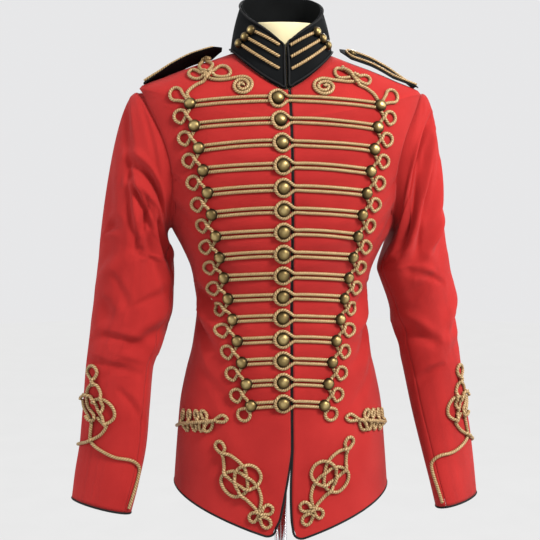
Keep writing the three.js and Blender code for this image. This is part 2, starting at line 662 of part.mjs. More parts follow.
function frontPanel(side) {
  return clothWall(PANEL_ROWS.length, FRONT_COLUMNS + 1, CLOTH, (r, c, lift) => {
    const row = PANEL_ROWS[r];
    const { angle, fromEdge } = frontColumn(side, row, c);
    const point = bodyPoint(row.level, angle, lift);
    point.z += cornerLift(row.level, fromEdge);
    return point;
  });
}

function backPanel(side) {
  return clothWall(PANEL_ROWS.length, BACK_COLUMNS + 1, CLOTH, (r, c, lift) => {
    const { level, open } = PANEL_ROWS[r];
    const seam = open + SEAM / 2 / bodyColumn("back", level);
    const middle = Math.PI / 2 - SEAM / 2 / bodyColumn("half", level);
    const turn = lerp(seam, middle, c / BACK_COLUMNS);
    return bodyPoint(level, side === "left" ? -turn : Math.PI + turn, lift);
  });
}

// Sleeves of two pieces: the top sleeve goes over the outside, the under sleeve lies next to the body.
const SLEEVE_SIDES = 2 * ARMHOLE_STEPS;
const FORE_SEAM = 9;          // ring side at which the fore seam lies, on the inner front
const HIND_SEAM = 15;         // ring side of the hind seam
const SLEEVE_WAYS = [0, 0.1, 0.26, 0.46, 0.7, 1, 1.14, 1.26, 1.38, 1.56, 1.78, 2];

function sleevePiece(side, firstSide, lastSide) {
  const columns = lastSide - firstSide + 1;
  return clothWall(SLEEVE_WAYS.length, columns, CLOTH, (r, c, lift) => {
    const seam = c === 0 ? SEAM / 2 : c === columns - 1 ? -SEAM / 2 : 0;
    const turn = (2 * Math.PI * (firstSide + c)) / SLEEVE_SIDES + seam / SLEEVE_SPREAD * 1.5;
    return sleevePoint(side, SLEEVE_WAYS[r], turn, lift);
  });
}


// ---- collar and straps ---------------------------------------------------------------------------------------

// A point of the collar: share of its height from the neck seam, and the angle round the neck.
function collarPoint(share, angle, lift = 0) {
  const turn = Math.asin(Math.sin(angle)) * (180 / Math.PI);
  const foot = bodyPoint(NECK, angle, CLOTH / 2 + (Math.sin(angle) < 0 ? 2.4 : 1.8));
  const reach = column(COLLAR_TOP, "angle", "reach", turn);
  const sideReach = COLLAR_TOP[2].reach;
  const top = V(sideReach * Math.cos(angle), -reach * Math.sin(angle), column(COLLAR_TOP, "angle", "top", turn));
  top.z -= LEAN * top.x;
  const bow = 2.5 * Math.sin(Math.PI * share);
  const out = V(Math.cos(angle), -Math.sin(angle), 0.15).normalize();
  return foot.lerp(top, share).addScaledVector(out, bow + lift);
}

const COLLAR_TURNS = [3, 9, ...between(13, 26, 334), 351, 357];
const collarTurn = (k) => {
  const gap = COLLAR_OPENING.gap / 2 / 66;
  const shift = COLLAR_OPENING.at / 66;
  const degrees = k === 0 ? 0 : k === COLLAR_TURNS.length - 1 ? 360 : COLLAR_TURNS[k];
  const ends = k === 0 ? gap : k === COLLAR_TURNS.length - 1 ? -gap : 0;
  return Math.PI / 2 + degToRad(degrees) + ends - shift;
};
const COLLAR_SHARES = [0, 0.25, 0.6, 1];

const collar = () => clothWall(COLLAR_SHARES.length, COLLAR_TURNS.length, COLLAR_CLOTH, (r, c, lift) =>
  collarPoint(COLLAR_SHARES[r], collarTurn(c), lift));

const awayFromNeck = (angle) => V(Math.cos(angle), -Math.sin(angle), 0.2).normalize();
const onCollar = (share, angle, lift) => ({ point: collarPoint(share, angle, lift), away: awayFromNeck(angle) });

// Braid bound round the collar's edges: along the foot, up the front edge, along the top and down again.
function collarPiping() {
  const lift = COLLAR_CLOTH / 2 + LAY + PIPING / 2;
  const turns = steps(COLLAR_TURNS.length, collarTurn);
  const inset = turns.map((turn, k) => turn + (k === 0 ? 0.02 : k === turns.length - 1 ? -0.02 : 0));
  const foot = inset.map((turn) => onCollar(0.06, turn, lift));
  const front = [0.35, 0.65].map((share) => onCollar(share, inset[inset.length - 1], lift));
  const top = [...inset].reverse().map((turn) => onCollar(0.97, turn, lift));
  const otherFront = [0.65, 0.35].map((share) => onCollar(share, inset[0], lift));
  return cordAlong([...foot, ...front, ...top, ...otherFront], PIPING, 3, true);
}

function collarStripe(side, stripe) {
  const angleAt = (t) => lerp(degToRad(83), degToRad(stripe.angle), t);
  const turned = (angle) => (side === "left" ? angle : Math.PI - angle);
  const path = between(5, 0, 1).map((t) => onCollar(lerp(stripe.front, stripe.end, t), turned(angleAt(t)), 0));
  const end = onCollar(stripe.end, turned(degToRad(stripe.angle)), 0);
  return fused([laidCord(path, grounds.collar, 5), laidButton(end, grounds.collar, BUTTON.collar)]);
}

// A point of a strap: share of the way from the sleeve seam to its point, and share of its half breadth.
function strapPoint(side, share, across, lift = 0) {
  const sign = side === "left" ? 1 : -1;
  const x = lerp(STRAP.outer, STRAP.inner, share);
  let level = TIP;
  for (let k = 0; k < 30; k += 1) level += 0.25 * (bodyColumn("half", level) - x) * ((NECK - TIP) / 144);
  const length = STRAP.outer - STRAP.inner;
  const fromPoint = (1 - share) * length;
  const breadth = (STRAP.across / 2) * (fromPoint < STRAP.point ? 0.25 + 0.75 * (fromPoint / STRAP.point) : 1);
  const ridge = bodyPoint(level, side === "left" ? 0 : Math.PI);
  const y = across * breadth;
  const lean = STRAP_LEAN[side] * Math.min(share * 3, 1);
  const rise = column(STRAP_LIFT, "share", "lift", share);
  const fall = 0.0035 * y * y + 0.004 * y * y * (1 - Math.min(share * 4, 1));
  return V(sign * x, y, ridge.z + rise + lean * y - fall - STRAP_SINK[side] + lift);
}

function strap(side) {
  const shares = [0, 0.2, 0.4, 0.6, 0.75, 1 - STRAP.point / (STRAP.outer - STRAP.inner), 1];
  return clothWall(shares.length, 3, STRAP.thick, (r, c, lift) => strapPoint(side, shares[r], c - 1, lift));
}

function strapBraid(side) {
  const shares = between(5, 0.02, 0.86);
  const up = V(0, 0, 1);
  const on = (share, across) => ({ point: strapPoint(side, share, across, 0), away: up });
  const path = [...shares.map((t) => on(t, -0.82)), on(0.95, 0), ...[...shares].reverse().map((t) => on(t, 0.82))];
  return laidCord(path, grounds[`strap_${side}`], 3.2);
}

function strapButton(side) {
  const place = { point: strapPoint(side, 0.84, 0, 0), away: V(0, 0, 1) };
  return laidButton(place, grounds[`strap_${side}`], BUTTON.strap);
}

// ---- piping of the hems and front edges ------------------------------------------------------------------------

// The outline of a front, from the neck down its edge, round the corner and along the hem to the side seam.
function frontPiping(side) {
  const sign = side === "left" ? -1 : 1;
  const rows = PANEL_ROWS.slice(1, -1).filter(({ level }, k) => level < SKIRT_OPENS + 10 || k % 2 === 0);
  const edge = rows.reverse().map(({ level }) => {
    const angle = edgeAngle(level, frontEdge(side, level) + sign * BEAD);
    const point = bodyPoint(level, angle, 0);
    point.z += cornerLift(level, 0) * 0.6;
    return { point, away: bodyNormal(level, angle) };
  });
  const low = PANEL_ROWS[0];
  const along = steps(FRONT_COLUMNS + 1, (k) => frontColumn(side, low, FRONT_COLUMNS - k)).slice(1);
  const hem = along.map(({ angle, fromEdge }) => {
    const point = bodyPoint(low.level, angle, 0);
    point.z += cornerLift(low.level, fromEdge) - BEAD - 0.25;
    return { point, away: bodyNormal(low.level, angle) };
  });
  return cordAlong([...edge, ...hem], PIPING_SECTION, CORD_SIDES);
}

function backPiping() {
  const path = between(2 * BACK_COLUMNS + 1, -0.02, -Math.PI + 0.02).map((angle) => {
    const point = bodyPoint(HEM, angle, 0);
    point.z -= BEAD;
    return { point, away: bodyNormal(HEM, angle) };
  });
  return cordAlong(path, PIPING_SECTION, CORD_SIDES);
}

function cuffPiping(side) {
  const { down } = sleeveRing(SLEEVES[side], 1);
  const path = steps(SLEEVE_SIDES, (k) => {
    const turn = (2 * Math.PI * k) / SLEEVE_SIDES;
    return { point: sleevePoint(side, 2, turn).addScaledVector(down, PIPING / 2 + 0.5), away: sleeveNormal(side, 2, turn) };
  });
  return cordAlong(path, PIPING_SECTION, CORD_SIDES, true);
}

// ---- frogging ----------------------------------------------------------------------------------------------------

const onFront = ([x, z]) => ({ point: frontPoint(x, z, 0), away: normalAt(x, z) });
const frontCord = (list, closed = false) => laidCord(list.map(onFront), grounds.front, CORD, closed);
const ring = (x, z, radius, count = 6, start = 0) => steps(count, (k) => {
  const turn = start + (2 * Math.PI * k) / count;
  return [x + radius * Math.cos(turn), z + radius * Math.sin(turn)];
});

function frontButton(x, z, across, sides = 7) {
  return laidButton(onFront([x, z]), grounds.front, across, sides);
}

function rowPlace(row) {
  const t = row / (ROWS - 1);
  const z = ROW_TOP - row * ROW_PITCH;
  const reach = lerp(...ROW_REACH, t);
  const drop = lerp(...ROW_DROP, t);
  return { z, reach, height: (x) => z - drop * ((x - BUTTON_LINE) / reach) ** 2 };
}

// One row: two cords on each side, a loop round the middle button, two side buttons and their small loops.
function frogRow(row) {
  const { z, reach, height } = rowPlace(row);
  const pair = CORD_PAIR / 2;
  const around = BUTTON.middle / 2 + 1.6;
  const span = (from, to, offset) => between(3, from, to).map((x) => [x, height(x) + offset]);
  const arc = steps(5, (k) => {
    const turn = degToRad(40 + (280 * k) / 4);
    return [BUTTON_LINE + around * Math.cos(turn), z + around * Math.sin(turn)];
  });
  const solids = [
    frontCord([...span(reach, BUTTON_LINE + 17, pair), ...arc, ...span(BUTTON_LINE + 17, reach, -pair)]),
    frontCord(span(-reach, BUTTON_LINE - around + 1, pair)),
    frontCord(span(-reach, BUTTON_LINE - around + 1, -pair)),
    frontButton(BUTTON_LINE, z, BUTTON.middle),
  ];
  for (const side of [-1, 1]) {
    const button = [side * reach, height(side * reach)];
    solids.push(frontButton(...button, BUTTON.side, 6));
    const [x, y] = [button[0] + side * SIDE_LOOP.out, button[1] + SIDE_LOOP.up];
    const inward = Math.atan2(-SIDE_LOOP.up, -side * SIDE_LOOP.out);
    solids.push(frontCord(ring(x, y, SIDE_LOOP.radius, 5, inward), true));
    const touch = [x + SIDE_LOOP.radius * Math.cos(inward), y + SIDE_LOOP.radius * Math.sin(inward)];
    solids.push(frontCord([button, touch]));
    if (row > 0) {
      const above = rowPlace(row - 1);
      const end = [side * above.reach, above.height(side * above.reach) - BUTTON.side / 2 - 3.4];
      solids.push(frontCord([touch, end]));
    }
    if (row === ROWS - 1) {
      const low = [button[0] + side * 10.5, button[1] - 14];
      solids.push(frontCord(ring(...low, SIDE_LOOP.radius, 5, Math.PI / 2 + side * 0.6), true), frontCord([button, low]));
    }
  }
  return fused(solids);
}

function chestKnot(side) {
  const { spiral, loops, middle, loopRadius, end } = CHEST_KNOT;
  const turned = (list) => list.map(([x, z]) => [side * x, z]);
  const coil = steps(12, (k) => {
    const t = k / 11;
    const turn = Math.PI * 0.35 - 2 * Math.PI * spiral.turns * t;
    const radius = lerp(spiral.radius, 2.5, t);
    return [spiral.x + radius * Math.cos(turn), spiral.z + radius * Math.sin(turn)];
  });
  const solids = [
    frontCord(turned([[end.x, end.z], [130, 1357], [middle.x, middle.z], [92, 1368], ...coil])),
    ...loops.map(({ x, z }) => frontCord(turned(ring(x, z, loopRadius, 5)), true)),
    ...loops.map(({ x, z }) => frontCord(turned([[middle.x, middle.z], [lerp(middle.x, x, 0.75), lerp(middle.z, z, 0.75)]]))),
  ];
  return fused(solids);
}

function hemKnot(side) {
  const { top, rings, foot, trefoil, loopRadius } = HEM_KNOT;
  const turned = (list) => list.map(([x, z]) => [side * x, z]);
  const [first, second] = rings;
  const solids = [
    frontCord(turned(ring(top.x, top.z, top.radius, 5)), true),
    ...rings.map(({ x, z, radius }) => frontCord(turned(ring(x, z, radius, 8)), true)),
    frontCord(turned([[top.x - 2, top.z - top.radius], [84, 784], [64, 752], [foot.x, foot.z]])),
    frontCord(turned([[top.x + 1, top.z - top.radius], [97, 784], [second.x + second.radius, second.z + 6]])),
    frontCord(turned([[first.x - first.radius, first.z - 4], [40, 742], [foot.x, foot.z]])),
    ...trefoil.map(({ x, z }) => frontCord(turned(ring(x, z, loopRadius, 5)), true)),
    ...trefoil.map(({ x, z }) => frontCord(turned([[foot.x, foot.z], [lerp(foot.x, x, 0.8), lerp(foot.z, z, 0.8)]]))),
  ];
  return fused(solids);
}

// A braid from the front of the hip to the side: a spine with loops above and below, and one at its end.
function hipBraid(side) {
  const { level, from, to, loops, loopRadius, rise } = HIP_BRAID;
  const spread = 135;
  const on = ([along, up]) => {
    const angle = side > 0 ? degToRad(along) : Math.PI - degToRad(along);
    const height = level + 4 + up + (along - from) * 0.3;
    return { point: bodyPoint(height, angle, 0), away: bodyNormal(height, angle) };
  };
  const cord = (list, closed = false) => laidCord(list.map(on), grounds.front, CORD, closed);
  const loop = (along, up, radius) => steps(5, (k) => {
    const turn = (2 * Math.PI * k) / 5;
    return [along + (radius * Math.cos(turn)) / degToRad(spread), up + radius * Math.sin(turn)];
  });
  const pitch = (from - to) / (loops + 0.6);
  const solids = [
    cord(between(5, from - 2, to).map((along) => [along, 0])),
    cord(loop(from, 0, loopRadius), true),
  ];
  for (let k = 0; k < loops; k += 1) {
    solids.push(cord(loop(from - (k + 1.1) * pitch, rise, loopRadius), true));
    solids.push(cord(loop(from - (k + 0.8) * pitch, -rise, loopRadius), true));
  }
  return fused(solids);
}

// The knot above each cuff, and the cord that points the cuff and runs round to its seams.
function sleeveKnot(side) {
  const { way, turn, lengthTop, lengthFoot } = SLEEVE_KNOT;
  const on = ([across, up]) => {
    const at = { way: way - up / SLEEVE_WAY.tube, turn: degToRad(turn) + across / 48 };
    return { point: sleevePoint(side, at.way, at.turn, 0), away: sleeveNormal(side, at.way, at.turn) };
  };
  const cord = (list, closed = false) => laidCord(list.map(on), grounds[`sleeve_${side}`], CORD, closed);
  const foot = [0, -lengthFoot];
  const solids = [
    cord(ring(-4, lengthTop, 6.5, 5, -1.3), true),
    cord([[-2, lengthTop - 6], [4, 36], [-6, 20], [-20, 6], [-18, -14], [-4, -26], ...[foot]]),
    cord([[-2, lengthTop - 6], [-6, 36], [6, 22], [20, 14]]),
    cord(ring(22, -2, 15, 7, 1), true),
    cord(ring(-4, 2, 13, 6, 0.4), true),
    cord([[12, -12], [6, -30], foot]),
    cord([foot, [14, -62], [40, -69], [86, -74], [88, -100], [88, -131]]),
    cord([foot, [-12, -58], [-36, -66], [-76, -68], [-118, -68]]),
  ];
  return fused(solids);
}

// ---- the dress form ------------------------------------------------------------------------------------------------

// Its torso follows the jacket's own rings a little inside the cloth, closest on the shoulders, where the jacket
// rests; it has no arms, and its neck ends flat.
function formTorso() {
  const low = PANEL_ROWS.findIndex((row) => row.level > FORM_LOW);
  const rows = PANEL_ROWS.slice(low).filter((row, k) => row.level > TIP - 8 || k % 2 === 0);
  const rings = rows.map((row, r) => {
    const shoulder = clamp((row.level - 1300) / 45, 0, 1);
    const insetOf = (angle) => lerp(11, Math.sin(angle) > 0 ? 3.2 : CLOTH / 2 + SEAM + 0.25, shoulder);
    const columns = steps(BACK_COLUMNS + 1, (c) => c / BACK_COLUMNS);
    const open = row.open;
    const quarter = (a, b) => columns.slice(0, -1).map((t) => lerp(a, b, t));
    const angles = [
      ...quarter(open, Math.PI / 2), ...quarter(Math.PI / 2, Math.PI - open),
      ...quarter(Math.PI + open, 1.5 * Math.PI), ...quarter(1.5 * Math.PI, 2 * Math.PI - open),
    ];
    const points = angles.map((angle) => plainBody(row.level, angle)
      .addScaledVector(bodyNormal(row.level, angle), -insetOf(angle)));
    if (r === 0) points.forEach((p) => { p.z = FORM_LOW; });
    return points;
  });
  const neckFoot = rings[rings.length - 1].map((p) => V(p.x * 0.84, p.y * 0.76, p.z + 5));
  const neckTop = neckFoot.map((p) => V(p.x * 0.9, p.y * 0.94, FORM_TOP));
  return cappedRings([...rings, neckFoot, neckTop]);
}

function cappedRings(rings) {
  const sides = rings[0].length;
  const points = rings.flat();
  const faces = [];
  for (let r = 0; r < rings.length - 1; r += 1) {
    for (let s = 0; s < sides; s += 1) {
      const next = (s + 1) % sides;
      faces.push(...quad(r * sides + s, r * sides + next, (r + 1) * sides + next, (r + 1) * sides + s));
    }
  }
  for (const [r, flip] of [[0, true], [rings.length - 1, false]]) {
    const middle = points.length;
    points.push(rings[r].reduce((sum, p) => sum.add(p), V(0, 0, 0)).divideScalar(sides));
    for (let s = 0; s < sides; s += 1) {
      const [a, b] = [r * sides + s, r * sides + ((s + 1) % sides)];
      faces.push(flip ? [b, a, middle] : [a, b, middle]);
    }
  }
  return meshFrom(points, faces);
}

function lathed(profile, sides) {
  const geometry = new THREE.LatheGeometry(profile.map(([x, y]) => new THREE.Vector2(x, y)), sides);
  geometry.rotateX(Math.PI / 2);
  return welded(geometry);
}

const pole = () => lathed([[0, BASE_HEIGHT + SEAM], [POLE / 2, BASE_HEIGHT + SEAM],
  [POLE / 2, FORM_LOW - SEAM], [0, FORM_LOW - SEAM]], 16);
const base = () => lathed([[0, 0], [BASE_ACROSS / 2, 0], [BASE_ACROSS / 2, 6], [BASE_ACROSS / 2 - 8, 10],
  [60, BASE_HEIGHT], [0, BASE_HEIGHT]], 24);

// ---- all the pieces ----------------------------------------------------------------------------------------------

const SIDES = ["left", "right"];
const grounds = {};
for (const side of SIDES) {
  const onItsSide = (geometry) => (side === "left" ? geometry : mirrored(geometry));
  const [front, pipingFront] = [frontPanel(side), frontPiping(side)];
  const sleeveTop = sleevePiece(side, HIND_SEAM - SLEEVE_SIDES, FORE_SEAM);
  const sleeveUnder = sleevePiece(side, FORE_SEAM, HIND_SEAM);
  piece(`front_${side}`, front, RED);
  piece(`back_${side}`, backPanel(side), RED);
  piece(`sleeve_top_${side}`, onItsSide(sleeveTop), RED);
  piece(`sleeve_under_${side}`, onItsSide(sleeveUnder), RED);
  piece(`piping_front_${side}`, pipingFront, BLACK);
  piece(`piping_cuff_${side}`, onItsSide(cuffPiping(side)), BLACK);
  piece(`strap_${side}`, strap(side), BLACK);
  grounds.front = [...(grounds.front ?? []), ...facetsOf(front, pipingFront)];
  grounds[`sleeve_${side}`] = facetsOf(sleeveTop, sleeveUnder);
  grounds[`strap_${side}`] = facetsOf(strap(side));
}
const [collarWall, collarBraid] = [collar(), collarPiping()];
piece("piping_back", backPiping(), BLACK);
piece("collar", collarWall, BLACK);
piece("piping_collar", collarBraid, BLACK);
grounds.collar = facetsOf(collarWall);
grounds.front.push(...facetsOf(collarWall, collarBraid));
for (const side of SIDES) {
  const sign = side === "left" ? 1 : -1;
  piece(`strap_braid_${side}`, strapBraid(side), GOLD);
  piece(`strap_button_${side}`, strapButton(side), BRASS);
  piece(`chest_knot_${side}`, chestKnot(sign), GOLD);
  piece(`hem_knot_${side}`, hemKnot(sign), GOLD);
  piece(`hip_braid_${side}`, hipBraid(sign), GOLD);
  piece(`sleeve_knot_${side}`, side === "left" ? sleeveKnot(side) : mirrored(sleeveKnot(side)), GOLD);
  COLLAR_STRIPES.forEach((stripe, k) => piece(`collar_stripe_${side}_${k + 1}`, collarStripe(side, stripe), GOLD));
}
steps(ROWS, (row) => piece(`frog_row_${String(row + 1).padStart(2, "0")}`, frogRow(row), GOLD));
piece("form_torso", formTorso(), CREAM);
piece("form_pole", pole(), CHROME);
piece("form_base", base(), CHROME);

export default jacket;
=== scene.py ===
# %% [markdown]
# # A hussar jacket, dressed in Blender
# The jacket is scarlet wool, cut tight, with fifteen rows of twisted gold cord over the chest, brass buttons, black
# piping and a stiff black collar. It stands on a limbless dress form with a chrome pole. The frame that is loaded
# here holds plain solids in the right places; every piece below is laid over them at the same size.

# %% Load the frame
import math
import bpy
import numpy as np
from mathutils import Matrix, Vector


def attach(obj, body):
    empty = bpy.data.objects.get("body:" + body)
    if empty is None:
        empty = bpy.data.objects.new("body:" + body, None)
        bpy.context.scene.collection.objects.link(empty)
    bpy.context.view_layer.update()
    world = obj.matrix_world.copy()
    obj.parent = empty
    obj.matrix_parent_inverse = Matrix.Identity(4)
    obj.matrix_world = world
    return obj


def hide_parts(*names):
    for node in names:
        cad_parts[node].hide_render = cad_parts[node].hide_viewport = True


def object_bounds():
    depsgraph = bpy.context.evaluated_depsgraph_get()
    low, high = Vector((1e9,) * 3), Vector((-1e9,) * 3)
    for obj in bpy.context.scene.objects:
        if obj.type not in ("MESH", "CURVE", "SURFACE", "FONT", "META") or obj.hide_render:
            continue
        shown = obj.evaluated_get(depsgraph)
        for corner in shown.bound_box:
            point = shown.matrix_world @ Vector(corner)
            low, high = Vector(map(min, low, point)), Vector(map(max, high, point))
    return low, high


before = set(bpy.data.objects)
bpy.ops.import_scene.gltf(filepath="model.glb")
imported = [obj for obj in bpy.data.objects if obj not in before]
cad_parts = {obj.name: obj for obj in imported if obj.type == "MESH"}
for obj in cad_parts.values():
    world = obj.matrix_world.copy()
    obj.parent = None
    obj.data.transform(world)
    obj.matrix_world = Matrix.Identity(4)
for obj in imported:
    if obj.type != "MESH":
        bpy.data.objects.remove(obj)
CAD_BOX = [list(corner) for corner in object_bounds()]
print(len(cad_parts), "solids, box", [[round(v, 3) for v in corner] for corner in CAD_BOX])

# %% [markdown]
# ## Camera and light
# The camera stands 1.7 m away at chest height, turned five degrees and tipped down a little, with a long lens, so
# the jacket isn't distorted. Four area lights are large and soft: one high in front, one on each side and one behind.
# Most of the light comes from a pale surround, as in a bright room, so that black cloth and folds keep their tone.

# %% The camera
DISTANCE = 1.70
EYE_HEIGHT = 1.270
TURN = math.radians(-5)
TIP_DOWN = math.atan(130 / 1075)
SIDE_STEP = 0.0174
LENS = 71.67

ahead = np.array([-math.sin(TURN), math.cos(TURN), 0.0])
across = np.array([math.cos(TURN), math.sin(TURN), 0.0])
eye = -ahead * DISTANCE - across * SIDE_STEP + np.array([0, 0, EYE_HEIGHT])
camera_data = bpy.data.cameras.new("camera")
camera_data.lens, camera_data.sensor_width = LENS, 36.0
camera = bpy.data.objects.new("camera", camera_data)
camera.location = eye
camera.rotation_euler = (math.pi / 2 - TIP_DOWN, 0, TURN)
bpy.context.scene.collection.objects.link(camera)
bpy.context.scene.camera = camera
print("camera at", eye.round(3))


# %% Lights and a pale floor
def area_light(name, place, target, size, watts, colour=(1, 1, 1)):
    data = bpy.data.lights.new(name, "AREA")
    data.energy, data.size, data.color = watts, size, colour
    light = bpy.data.objects.new(name, data)
    light.location = place
    aim = np.array(target, float) - np.array(place, float)
    light.rotation_euler = (math.atan2(math.hypot(aim[0], aim[1]), -aim[2]), 0, math.atan2(-aim[0], aim[1]))
    bpy.context.scene.collection.objects.link(light)


CHEST = (0, 0, 1.15)
area_light("light_front_high", (1.5, -1.7, 2.9), CHEST, 0.7, 105, (1, 0.97, 0.93))
area_light("light_right", (2.6, -0.3, 1.7), CHEST, 1.0, 26)
area_light("light_left", (-2.6, -0.4, 2.0), CHEST, 1.0, 20)
area_light("light_behind", (0.6, 2.4, 2.5), CHEST, 1.2, 60)

world = bpy.data.worlds.new("surround")
bpy.context.scene.world = world
world.use_nodes = True
world.node_tree.nodes["Background"].inputs["Color"].default_value = (0.80, 0.80, 0.81, 1)
world.node_tree.nodes["Background"].inputs["Strength"].default_value = 1.0
bpy.context.scene.view_settings.view_transform = "Standard"
print("four soft lights and a pale surround")

# %% [markdown]
# ## Finishes
# A finish in Blender is a tree of nodes, which can be wired by hand or by a script. Here a small class wraps a socket
# so that node maths reads like ordinary Python, and another keeps one material with its shader. That way each finish
# below is a few lines that can be read as a recipe.


# %% Node maths as Python
class Wire:
    """A socket with arithmetic."""

    def __init__(self, finish, socket):
        self.finish, self.socket = finish, socket

    def _math(self, operation, *others, swap=False):
        values = [self, *others]
        if swap:
            values.reverse()
        return self.finish.node("ShaderNodeMath", {"operation": operation}, dict(enumerate(values)))

    def __add__(self, other): return self._math("ADD", other)
    def __radd__(self, other): return self._math("ADD", other)
    def __sub__(self, other): return self._math("SUBTRACT", other)
    def __rsub__(self, other): return self._math("SUBTRACT", other, swap=True)
    def __mul__(self, other): return self._math("MULTIPLY", other)
    def __rmul__(self, other): return self._math("MULTIPLY", other)


class Finish:
    """One material: its node tree, its shader, and one way to add a node."""

    def __init__(self, name, **constants):
        self.material = bpy.data.materials.new(name)
        self.material.use_nodes = True
        self.tree = self.material.node_tree
        self.shader = self.tree.nodes["Principled BSDF"]
        for socket, value in constants.items():
            self.shader.inputs[socket.replace("_", " ")].default_value = value

    def node(self, kind, settings=None, inputs=None, output=0):
        made = self.tree.nodes.new(kind)
        for key, value in (settings or {}).items():
            if key == "stops":
                ramp = made.color_ramp
                while len(ramp.elements) < len(value):
                    ramp.elements.new(0.5)
                for element, (place, colour) in zip(ramp.elements, value):
                    element.position, element.color = place, (*colour, 1)
            else:
                setattr(made, key, value)
        for key, value in (inputs or {}).items():
            if isinstance(value, Wire):
                self.tree.links.new(value.socket, made.inputs[key])
            else:
                made.inputs[key].default_value = value
        return Wire(self, made.outputs[output])

    def place(self):
        return self.node("ShaderNodeTexCoord", output="Object")

    def noise(self, scale, detail):
        return self.node("ShaderNodeTexNoise", inputs={"Vector": self.place(), "Scale": scale, "Detail": detail})

    def stored(self, name):
        return self.node("ShaderNodeAttribute", {"attribute_name": name}, output="Fac")

    def ramp(self, value, stops):
        return self.node("ShaderNodeValToRGB", {"stops": stops}, {0: value})

    def put(self, socket, wire):
        self.tree.links.new(wire.socket, self.shader.inputs[socket])

    def bump(self, height, depth):
        self.put("Normal", self.node("ShaderNodeBump", inputs={"Height": height, "Distance": depth, "Strength": 1.0}))


print("node helpers ready")


# %% [markdown]
# The scarlet is a dense wool with a fine twill and a short nap, so it is nearly matt. Its threads could be modelled,
# but they are far thinner than a render shows, so two crossed waves along the cloth's own lengths raise them with a
# bump, and a noise adds the nap. Black cloth and the form's jersey are the same recipe with other threads.

# %% Cloth
def cloth_finish(name, dark, light, thread, depth, **constants):
    """Wool or drill: crossed threads, a nap of short fibres and a slow change of tone."""
    finish = Finish(name, **constants)
    u, v = finish.stored("weft"), finish.stored("warp")
    threads = [finish.node("ShaderNodeMath", {"operation": "SINE"}, {0: way * (2 * math.pi / thread)})
               for way in (u + v, u - v)]
    nap = finish.noise(900, 3)
    tone = finish.noise(14, 3) * 0.7 + nap * 0.3
    finish.put("Base Color", finish.ramp(tone, [(0.32, dark), (0.68, light)]))
    finish.bump(threads[0] * 0.35 + threads[1] * 0.15 + nap * 0.9, depth)
    return finish.material


scarlet_wool = cloth_finish("scarlet_wool", (0.33, 0.015, 0.014), (0.42, 0.022, 0.020), 0.9, 0.00022,
                            Roughness=0.85, Sheen_Weight=0.04, Sheen_Roughness=0.4, Specular_IOR_Level=0.15)
black_cloth = cloth_finish("black_cloth", (0.002, 0.0024, 0.0028), (0.006, 0.007, 0.008), 0.8, 0.00018,
                           Roughness=0.85, Specular_IOR_Level=0.10)
cream_jersey = cloth_finish("cream_jersey", (0.66, 0.57, 0.33), (0.74, 0.66, 0.41), 1.1, 0.0001,
                            Roughness=0.7, Specular_IOR_Level=0.3)

print("scarlet wool, black cloth and cream jersey")

# %% [markdown]
# Gold cord is spun from metal thread that has dulled to old gold, and its colour carries painted shade where the
# strands meet and a painted highlight on top. The mesh keeps how high on a strand each point lies, so the colour, with
# its painted shade and highlight, follows the twist wherever the cord turns. Brass buttons keep how near the crown a
# point is: the rim is painted dark, part tarnish and part painted dark reflection, and the crown carries a painted
# highlight.

# %% Cord, brass, chrome and the floor
gold_cord = Finish("gold_cord", Metallic=0.15, Specular_IOR_Level=0.45)
strand = gold_cord.stored("strand")
# A noise speckles the cord: darker specks are wear, and lighter specks are painted glints.
wear_and_glints = gold_cord.noise(520, 3)
# The ramp on strand height paints shade into the grooves between strands and a highlight on their tops.
gold_cord.put("Base Color", gold_cord.ramp(strand + (wear_and_glints - 0.5) * 1.1, [
    (0.02, (0.075, 0.036, 0.011)), (0.25, (0.20, 0.115, 0.040)),
    (0.60, (0.36, 0.23, 0.10)), (0.95, (0.56, 0.41, 0.21))]))
gold_cord.put("Roughness", 0.62 - strand * 0.2)
gold_cord.bump(gold_cord.noise(1500, 2), 0.0003)
gold_cord = gold_cord.material

black_braid = Finish("black_braid", Specular_IOR_Level=0.18)
twist = black_braid.stored("strand")
# The ramp on strand height paints shade into the grooves between strands and a faint highlight on their tops.
black_braid.put("Base Color", black_braid.ramp(twist, [(0.0, (0.002, 0.002, 0.002)), (1.0, (0.010, 0.010, 0.011))]))
black_braid.put("Roughness", 0.75 - twist * 0.15)
black_braid = black_braid.material

brass_button = Finish("brass_button", Metallic=0.9, Roughness=0.40)
crown = brass_button.stored("crown")
tarnish = brass_button.noise(210, 3)
polish = brass_button.noise(31, 1)
# The ramp on the crown value paints a highlight on the crown and a darker rim, which is part tarnish and part painted
# dark reflection. The two noises vary the tarnish and polish.
brass_button.put("Base Color", brass_button.ramp(crown + (tarnish - 0.5) * 0.25 + (polish - 0.5) * 0.5, [
    (0.0, (0.018, 0.012, 0.005)), (0.5, (0.085, 0.058, 0.022)),
    (0.85, (0.24, 0.17, 0.065)), (1.0, (0.46, 0.35, 0.15))]))
brass_button.bump(brass_button.noise(500, 2), 0.0001)
brass_button = brass_button.material

chrome = Finish("chrome", Metallic=1.0)
chrome.put("Base Color", chrome.ramp(chrome.noise(30, 2), [(0.3, (0.70, 0.71, 0.73)), (0.7, (0.80, 0.81, 0.83))]))
chrome.put("Roughness", 0.10 + chrome.noise(60, 3) * 0.12)
chrome = chrome.material

floor_grey = Finish("floor_grey", Roughness=1.0, Specular_IOR_Level=0.0, Emission_Color=(0.78, 0.78, 0.78, 1),
                    Emission_Strength=1.0)
floor_grey.put("Base Color", floor_grey.ramp(floor_grey.noise(6, 2), [
    (0.3, (0.02, 0.02, 0.02)), (0.7, (0.03, 0.03, 0.03))]))
floor_grey = floor_grey.material
print(len(bpy.data.materials), "materials")

